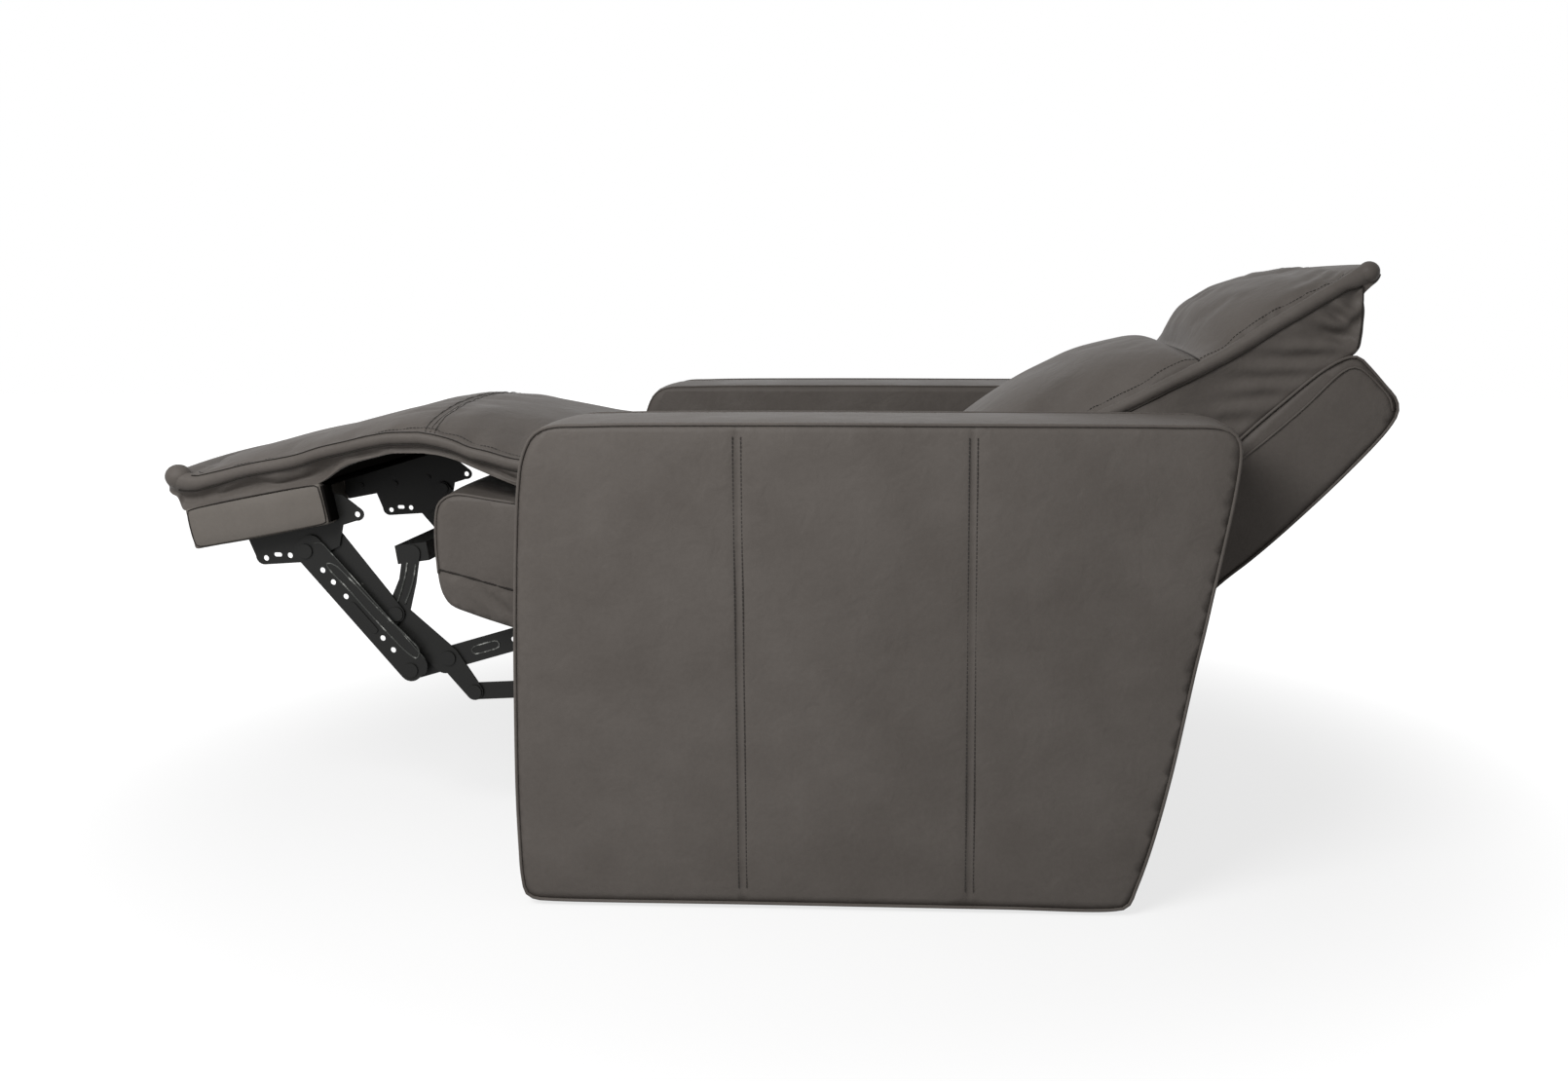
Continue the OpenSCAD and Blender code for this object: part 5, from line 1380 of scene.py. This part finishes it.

# %% [markdown]
# ## The footrest tray
# The footrest is a shallow plywood tray turned upside down. Its outside is covered with taut hide, coloured
# lighter as painted light, with a thin dark seam, painted shade, along each edge; its inside and its rear
# ends with black dust cloth. It is open below and behind, where the steel plates of the linkage are bolted
# in.

# %% The tray's rails, front and panel
TRAY_Y, TRAY_Z = -0.602, 0.451
TRAY_SLOPE = math.radians(10.9)
TRAY_LONG, TRAY_DEEP = 0.194, 0.057
TRAY_INNER_X, TRAY_OUTER_X, TRAY_FRONT_X = 0.2440, 0.2745, 0.262
TRAY_SEAM = [(4.5, 4), (4.5, 53), (5.5, 54.5), (185, 54.5), (189.5, 53), (191.5, 45), (191.5, 12), (189.5, 5),
             (185, 3), (5.5, 3)]


def from_tray(x, along, up):
    """A place given across, along the tray from its rear end and up from its foot, in metres."""
    return (x, TRAY_Y - along * math.cos(TRAY_SLOPE) - up * math.sin(TRAY_SLOPE),
            TRAY_Z - along * math.sin(TRAY_SLOPE) + up * math.cos(TRAY_SLOPE))


def rounded_block(name, low, high, radius, finish, puff=0.0, puff_side=0):
    """A padded block in the tray's directions, with soft edges; one side may swell a little."""
    low, high = np.array(low), np.array(high)
    ticks = []
    for l, h in zip(low, high):
        count = max(2, int(round((h - l) / (12 * MM))))
        flat = np.linspace(l + radius, h - radius, count)
        ticks.append(np.unique([l, l + radius * 0.3, l + radius, *flat, h - radius, h - radius * 0.3, h]))
    points, faces, seen = [], [], {}

    def corner(p):
        key = tuple(round(float(c), 6) for c in p)
        if key not in seen:
            inner = np.clip(p, low + radius, high - radius)
            off = np.array(p) - inner
            size = np.linalg.norm(off)
            q = inner + off / size * radius if size > 1e-9 else np.array(p)
            if puff and abs(p[0] - (high[0] if puff_side > 0 else low[0])) < 1e-9:
                share = np.prod([1 - abs(2 * (p[a] - low[a]) / (high[a] - low[a]) - 1) ** 4 for a in (1, 2)])
                q[0] += puff_side * puff * share
            seen[key] = len(points)
            points.append(from_tray(*q))
        return seen[key]

    for axis in range(3):
        a, b = [k for k in range(3) if k != axis]
        for value in (low[axis], high[axis]):
            for i in range(len(ticks[a]) - 1):
                for j in range(len(ticks[b]) - 1):
                    quad = []
                    for da, db in ((0, 0), (1, 0), (1, 1), (0, 1)):
                        p = [0.0, 0.0, 0.0]
                        p[axis], p[a], p[b] = value, ticks[a][i + da], ticks[b][j + db]
                        quad.append(corner(np.array(p)))
                    faces.append(quad)
    return make_piece(name, points, faces, finish)


print("the tray slopes", round(math.degrees(TRAY_SLOPE), 1), "degrees")

# %% Covering the tray
tray_parts = []
for side in (1, -1):
    x0, x1 = sorted((side * TRAY_INNER_X, side * TRAY_OUTER_X))
    # The rails wear the lighter hide, whose colour is painted light
    tray_parts.append(rounded_block("tray rail", (x0, 0.001, 0.0), (x1, TRAY_LONG, TRAY_DEEP), 4 * MM,
                                    LIT_BOARD_HIDE, 1.6 * MM, side))
    x0, x1 = sorted((side * (TRAY_INNER_X - 0.3 * MM), side * (TRAY_OUTER_X - 2 * MM)))
    tray_parts.append(rounded_block("rail end", (x0, -0.002, 0.003), (x1, 0.008, TRAY_DEEP - 0.004), 1.5 * MM,
                                    DUST_CLOTH))
    edge = [from_tray(side * TRAY_OUTER_X, a * MM, u * MM) for a, u in TRAY_SEAM]
    # The tray's seam cord is dark: painted shade of the crease along its edge
    tray_parts.append(piping("tray seam", smooth_line(edge, 6 * MM, closed=True), 0.9 * MM, SEAM_SHADE_HIDE,
                             closed=True, sides=6))
# The tray's front wears the lighter hide, whose colour is painted light
tray_parts.append(rounded_block("tray front", (-TRAY_FRONT_X, TRAY_LONG - 0.0085, 0.0),
                                (TRAY_FRONT_X, TRAY_LONG + 0.0005, TRAY_DEEP), 3 * MM, LIT_BOARD_HIDE))
tray_parts.append(rounded_block("tray panel", (-TRAY_FRONT_X, 0.001, TRAY_DEEP - 0.0068),
                                (TRAY_FRONT_X, TRAY_LONG - 0.002, TRAY_DEEP - 0.0002), 2 * MM, DUST_CLOTH))
tray = join_pieces(*tray_parts)
tray.name = "footrest_tray"
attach(tray, "footrest")
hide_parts("footrest_board")
print("tray:", len(tray.data.polygons), "faces")

# %% [markdown]
# ## Pressed forms on the linkage
# The links are stamped from sheet. The front link has a long pressed channel with a raised edge, the
# lower link a short pressed slot, and the curved arm two ribs that stop it from folding. Beads along
# these forms are rubbed bare in places, where the paint goes first, and their paint is lighter than
# the links': a painted highlight where light catches the raised edges.

# %% Beads along the pressed edges of both linkages
FRONT_FACE_X, LOWER_FACE_X, ARM_FACE_X = 0.2470, 0.2310, 0.2350
CHANNEL = [(-621, 392), (-610, 390), (-590, 371), (-548, 325), (-510, 287), (-497, 270), (-500, 259),
           (-510, 264), (-551, 307), (-596, 360), (-617, 383)]
FRONT_EDGE = [(-641, 419), (-628, 421), (-617, 410), (-505, 277), (-489, 258)]
SLOT_MIDDLE, SLOT_HALF, SLOT_R = (-408, 272), 15, 5.5
ARM_RIBS = [[(-529, 334), (-521, 356), (-515, 376), (-512, 392)],
            [(-518, 333), (-509, 354), (-503, 374), (-500, 390)]]


def bead(name, face_x, places, radius, body, closed=False):
    """The same raised edge on both sides of the chair, half sunk into the link."""
    line = measured_line(places, 5 * MM, closed)
    sides = [[(side * face_x, y, z) for y, z in line] for side in (1, -1)]
    # The beads' lighter paint is painted highlight of the raised edges; their bare patches are wear
    piece = join_pieces(*[piping(name, edge, radius, RUBBED_STEEL_AND_HIGHLIGHT, closed, 6) for edge in sides])
    piece.name = name
    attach(piece, body)


slot_line = []
along = np.array((245.0, 72.0)) / math.hypot(245, 72)     # the lower link's own direction
beside = np.array((-along[1], along[0]))
for turn in np.linspace(0, 2 * math.pi, 16, endpoint=False):
    end = np.array(SLOT_MIDDLE) + along * SLOT_HALF * (1 if math.cos(turn) > 0 else -1)
    slot_line.append(tuple(end + SLOT_R * (math.cos(turn) * along + math.sin(turn) * beside)))
bead("front_link_channel", FRONT_FACE_X, CHANNEL, 1.3 * MM, "front_links", closed=True)
bead("front_link_edge", FRONT_FACE_X, FRONT_EDGE, 0.8 * MM, "front_links")
bead("lower_link_slot", LOWER_FACE_X, slot_line, 1.1 * MM, "lower_links", closed=True)
for number, rib_line in enumerate(ARM_RIBS):
    bead("curved_arm_rib_" + str(number + 1), ARM_FACE_X, rib_line, 1.5 * MM, "cross_links")
print("beads on the linkage done")
